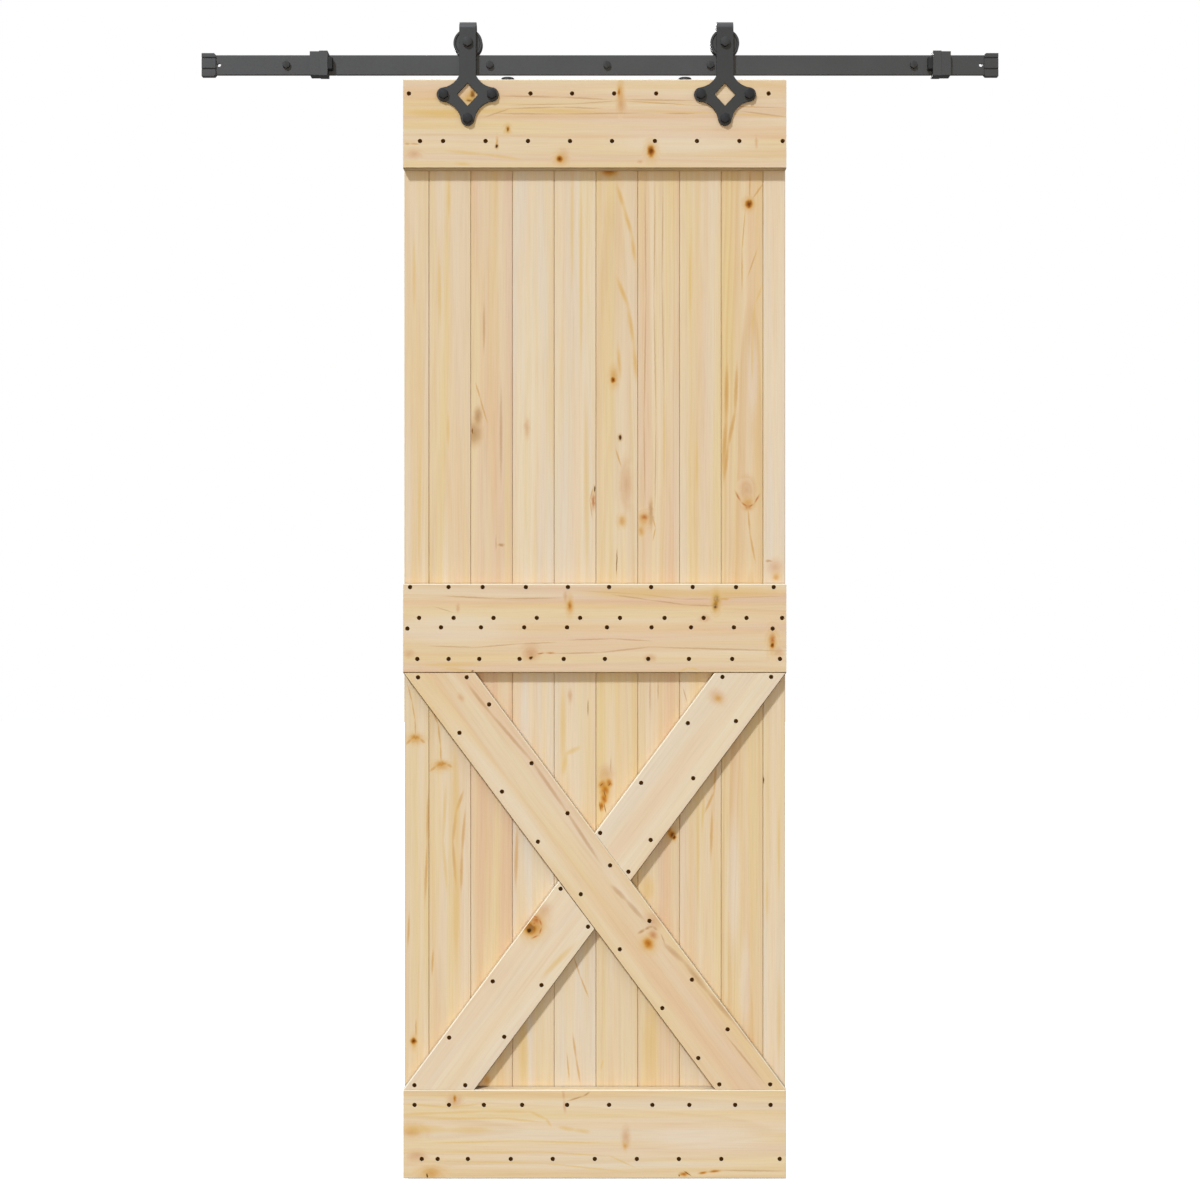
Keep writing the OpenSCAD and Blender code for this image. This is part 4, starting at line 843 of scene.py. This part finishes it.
def bolt(radius, flats, head_h, pitch, seat, end, plain_end):
    """Hexagon bolt along Y: seat is the plane under its head, plain_end where its thread starts."""
    head = hexagon(flats, seat - head_h, seat, False)
    core = radius - THREAD_SHARE * pitch
    shank_r = SHANK_SHARE * radius
    shank = turned([(seat - head_h / 2, shank_r), (plain_end, shank_r), (plain_end, core),
                    (end - BOLT_END_L * MM, core), (end, core - BOLT_END_R * MM)], BOLT_SIDES)
    ridge = thread(core, radius, pitch, plain_end + pitch, int((end - plain_end) / pitch) - 2)
    return joined([head, shank, ridge], "bolt")


for name, sizes, plain, material in (
        ("hanger_bolts", BOLT, PLAIN, oxide), ("wall_bolts", WALL_BOLT, WALL_PLAIN, grey_oxide),
        ("left_axle_bolt", BOLT, PLAIN, grey_oxide), ("right_axle_bolt", BOLT, PLAIN, grey_oxide)):
    boxes = solids(name)
    low, high = boxes[0]
    radius, flats, head_h, pitch = (size * MM for size in sizes)
    seat = low[1] + head_h
    model = bolt(radius, flats, head_h, pitch, seat, high[1], seat + plain * MM)
    piece = placed(model, on_axes(boxes), name + "_threaded")
    smooth(piece)
    settle(piece, name, material)

# Nuts on the axles, with a bore that clears the thread
NUT_ROOM, BORE_PAST = 0.1, 1.0
NUT_SIDES = 32
boxes = solids("axle_nuts")
low, high = boxes[0]
bore_r = (BOLT[0] + NUT_ROOM) * MM
nut = hexagon(BOLT[1] * MM, low[1], high[1], True)
bore = turned([(low[1] - BORE_PAST * MM, bore_r), (high[1] + BORE_PAST * MM, bore_r)], NUT_SIDES)
cut(nut, bore, "DIFFERENCE")
piece = placed(nut, on_axes(boxes), "axle_nuts_chamfered")
smooth(piece)
settle(piece, "axle_nuts", oxide)

# Wood screws: countersunk heads that fill the room in their seats, with a cross recess; sizes in mm
SCREW_HEAD_R, SCREW_RIM, SCREW_CORE_R = 4.2, 0.05, 1.5
SCREW_L, SCREW_TIP_L, SCREW_TIP_R = 30.0, 4.0, 0.2
SCREW_SIDES = 12
RECESS_W, RECESS_ARM, RECESS_T, RECESS_TAPER, RECESS_PAST = 1.3, 1.45, 1.8, 0.45, 1.0


def wood_screw():
    """Wood screw along Y, its head's face at the origin."""
    cone_end = SCREW_RIM + SCREW_HEAD_R - SCREW_CORE_R
    steps = [(0.0, SCREW_HEAD_R - SCREW_RIM), (SCREW_RIM, SCREW_HEAD_R), (cone_end, SCREW_CORE_R),
             (SCREW_L - SCREW_TIP_L, SCREW_CORE_R), (SCREW_L, SCREW_TIP_R)]
    screw = turned([(y * MM, r * MM) for y, r in steps], SCREW_SIDES)
    clear_selection()
    bpy.ops.mesh.primitive_cube_add(size=1.0, location=(0, (RECESS_T - RECESS_PAST) * MM / 2, 0),
                                    scale=(RECESS_W * MM, (RECESS_T + RECESS_PAST) * MM, RECESS_W * MM))
    bpy.ops.object.transform_apply(location=True, rotation=True, scale=True)
    cross = bpy.context.object
    for face in cross.data.polygons:
        face.select = abs(face.normal.y) < 0.5
    bpy.ops.object.mode_set(mode="EDIT")
    bpy.ops.mesh.select_mode(type="FACE")
    bpy.ops.mesh.extrude_faces_move(TRANSFORM_OT_shrink_fatten={"value": RECESS_ARM * MM})
    bpy.ops.mesh.select_all(action="DESELECT")
    bpy.ops.object.mode_set(mode="OBJECT")
    for vertex in cross.data.vertices:
        vertex.select = vertex.co.y > 0
    bpy.ops.object.mode_set(mode="EDIT")
    bpy.ops.mesh.select_mode(type="VERT")
    bpy.ops.transform.resize(value=(RECESS_TAPER, 1, RECESS_TAPER), center_override=(0, 0, 0))
    bpy.ops.object.mode_set(mode="OBJECT")
    cut(screw, cross, "DIFFERENCE")
    return screw


luck = random.Random(11)
for name in ("top_board_screws", "middle_board_screws", "bottom_board_screws", "brace_screws",
             "anti_jump_screws"):
    boxes = solids(name)
    upright = name == "anti_jump_screws"
    spots = [((low[0] + high[0]) / 2, (low[1] + high[1]) / 2 if upright else low[1],
              high[2] if upright else (low[2] + high[2]) / 2) for low, high in boxes]
    turns = [Matrix.Rotation(-math.pi / 2 if upright else 0, 4, "X")
             @ Matrix.Rotation(luck.uniform(0, math.pi / 2), 4, "Y") for _ in boxes]
    piece = placed(wood_screw(), spots, name + "_recessed", turns)
    settle(piece, name, phosphate)

# Floor: plain and pale, and neither shades nor tints the door
FLOOR_GAP = 0.012
FLOOR_SIDE = 24.0
FLOOR_GLOW = 0.85
bpy.ops.object.select_all(action="DESELECT")
bpy.ops.mesh.primitive_plane_add(size=FLOOR_SIDE, location=(0, 0, cad_box[0][2] - FLOOR_GAP))
floor = bpy.context.object
floor.name = "floor"
floor.visible_diffuse = False
floor.visible_glossy = False
floor.visible_shadow = False
white, tree, shader = new_material("studio_floor")
shader.inputs["Base Color"].default_value = WHITE
shader.inputs["Roughness"].default_value = 1.0
shader.inputs["Emission Color"].default_value = WHITE
shader.inputs["Emission Strength"].default_value = FLOOR_GLOW
floor.data.materials.append(white)
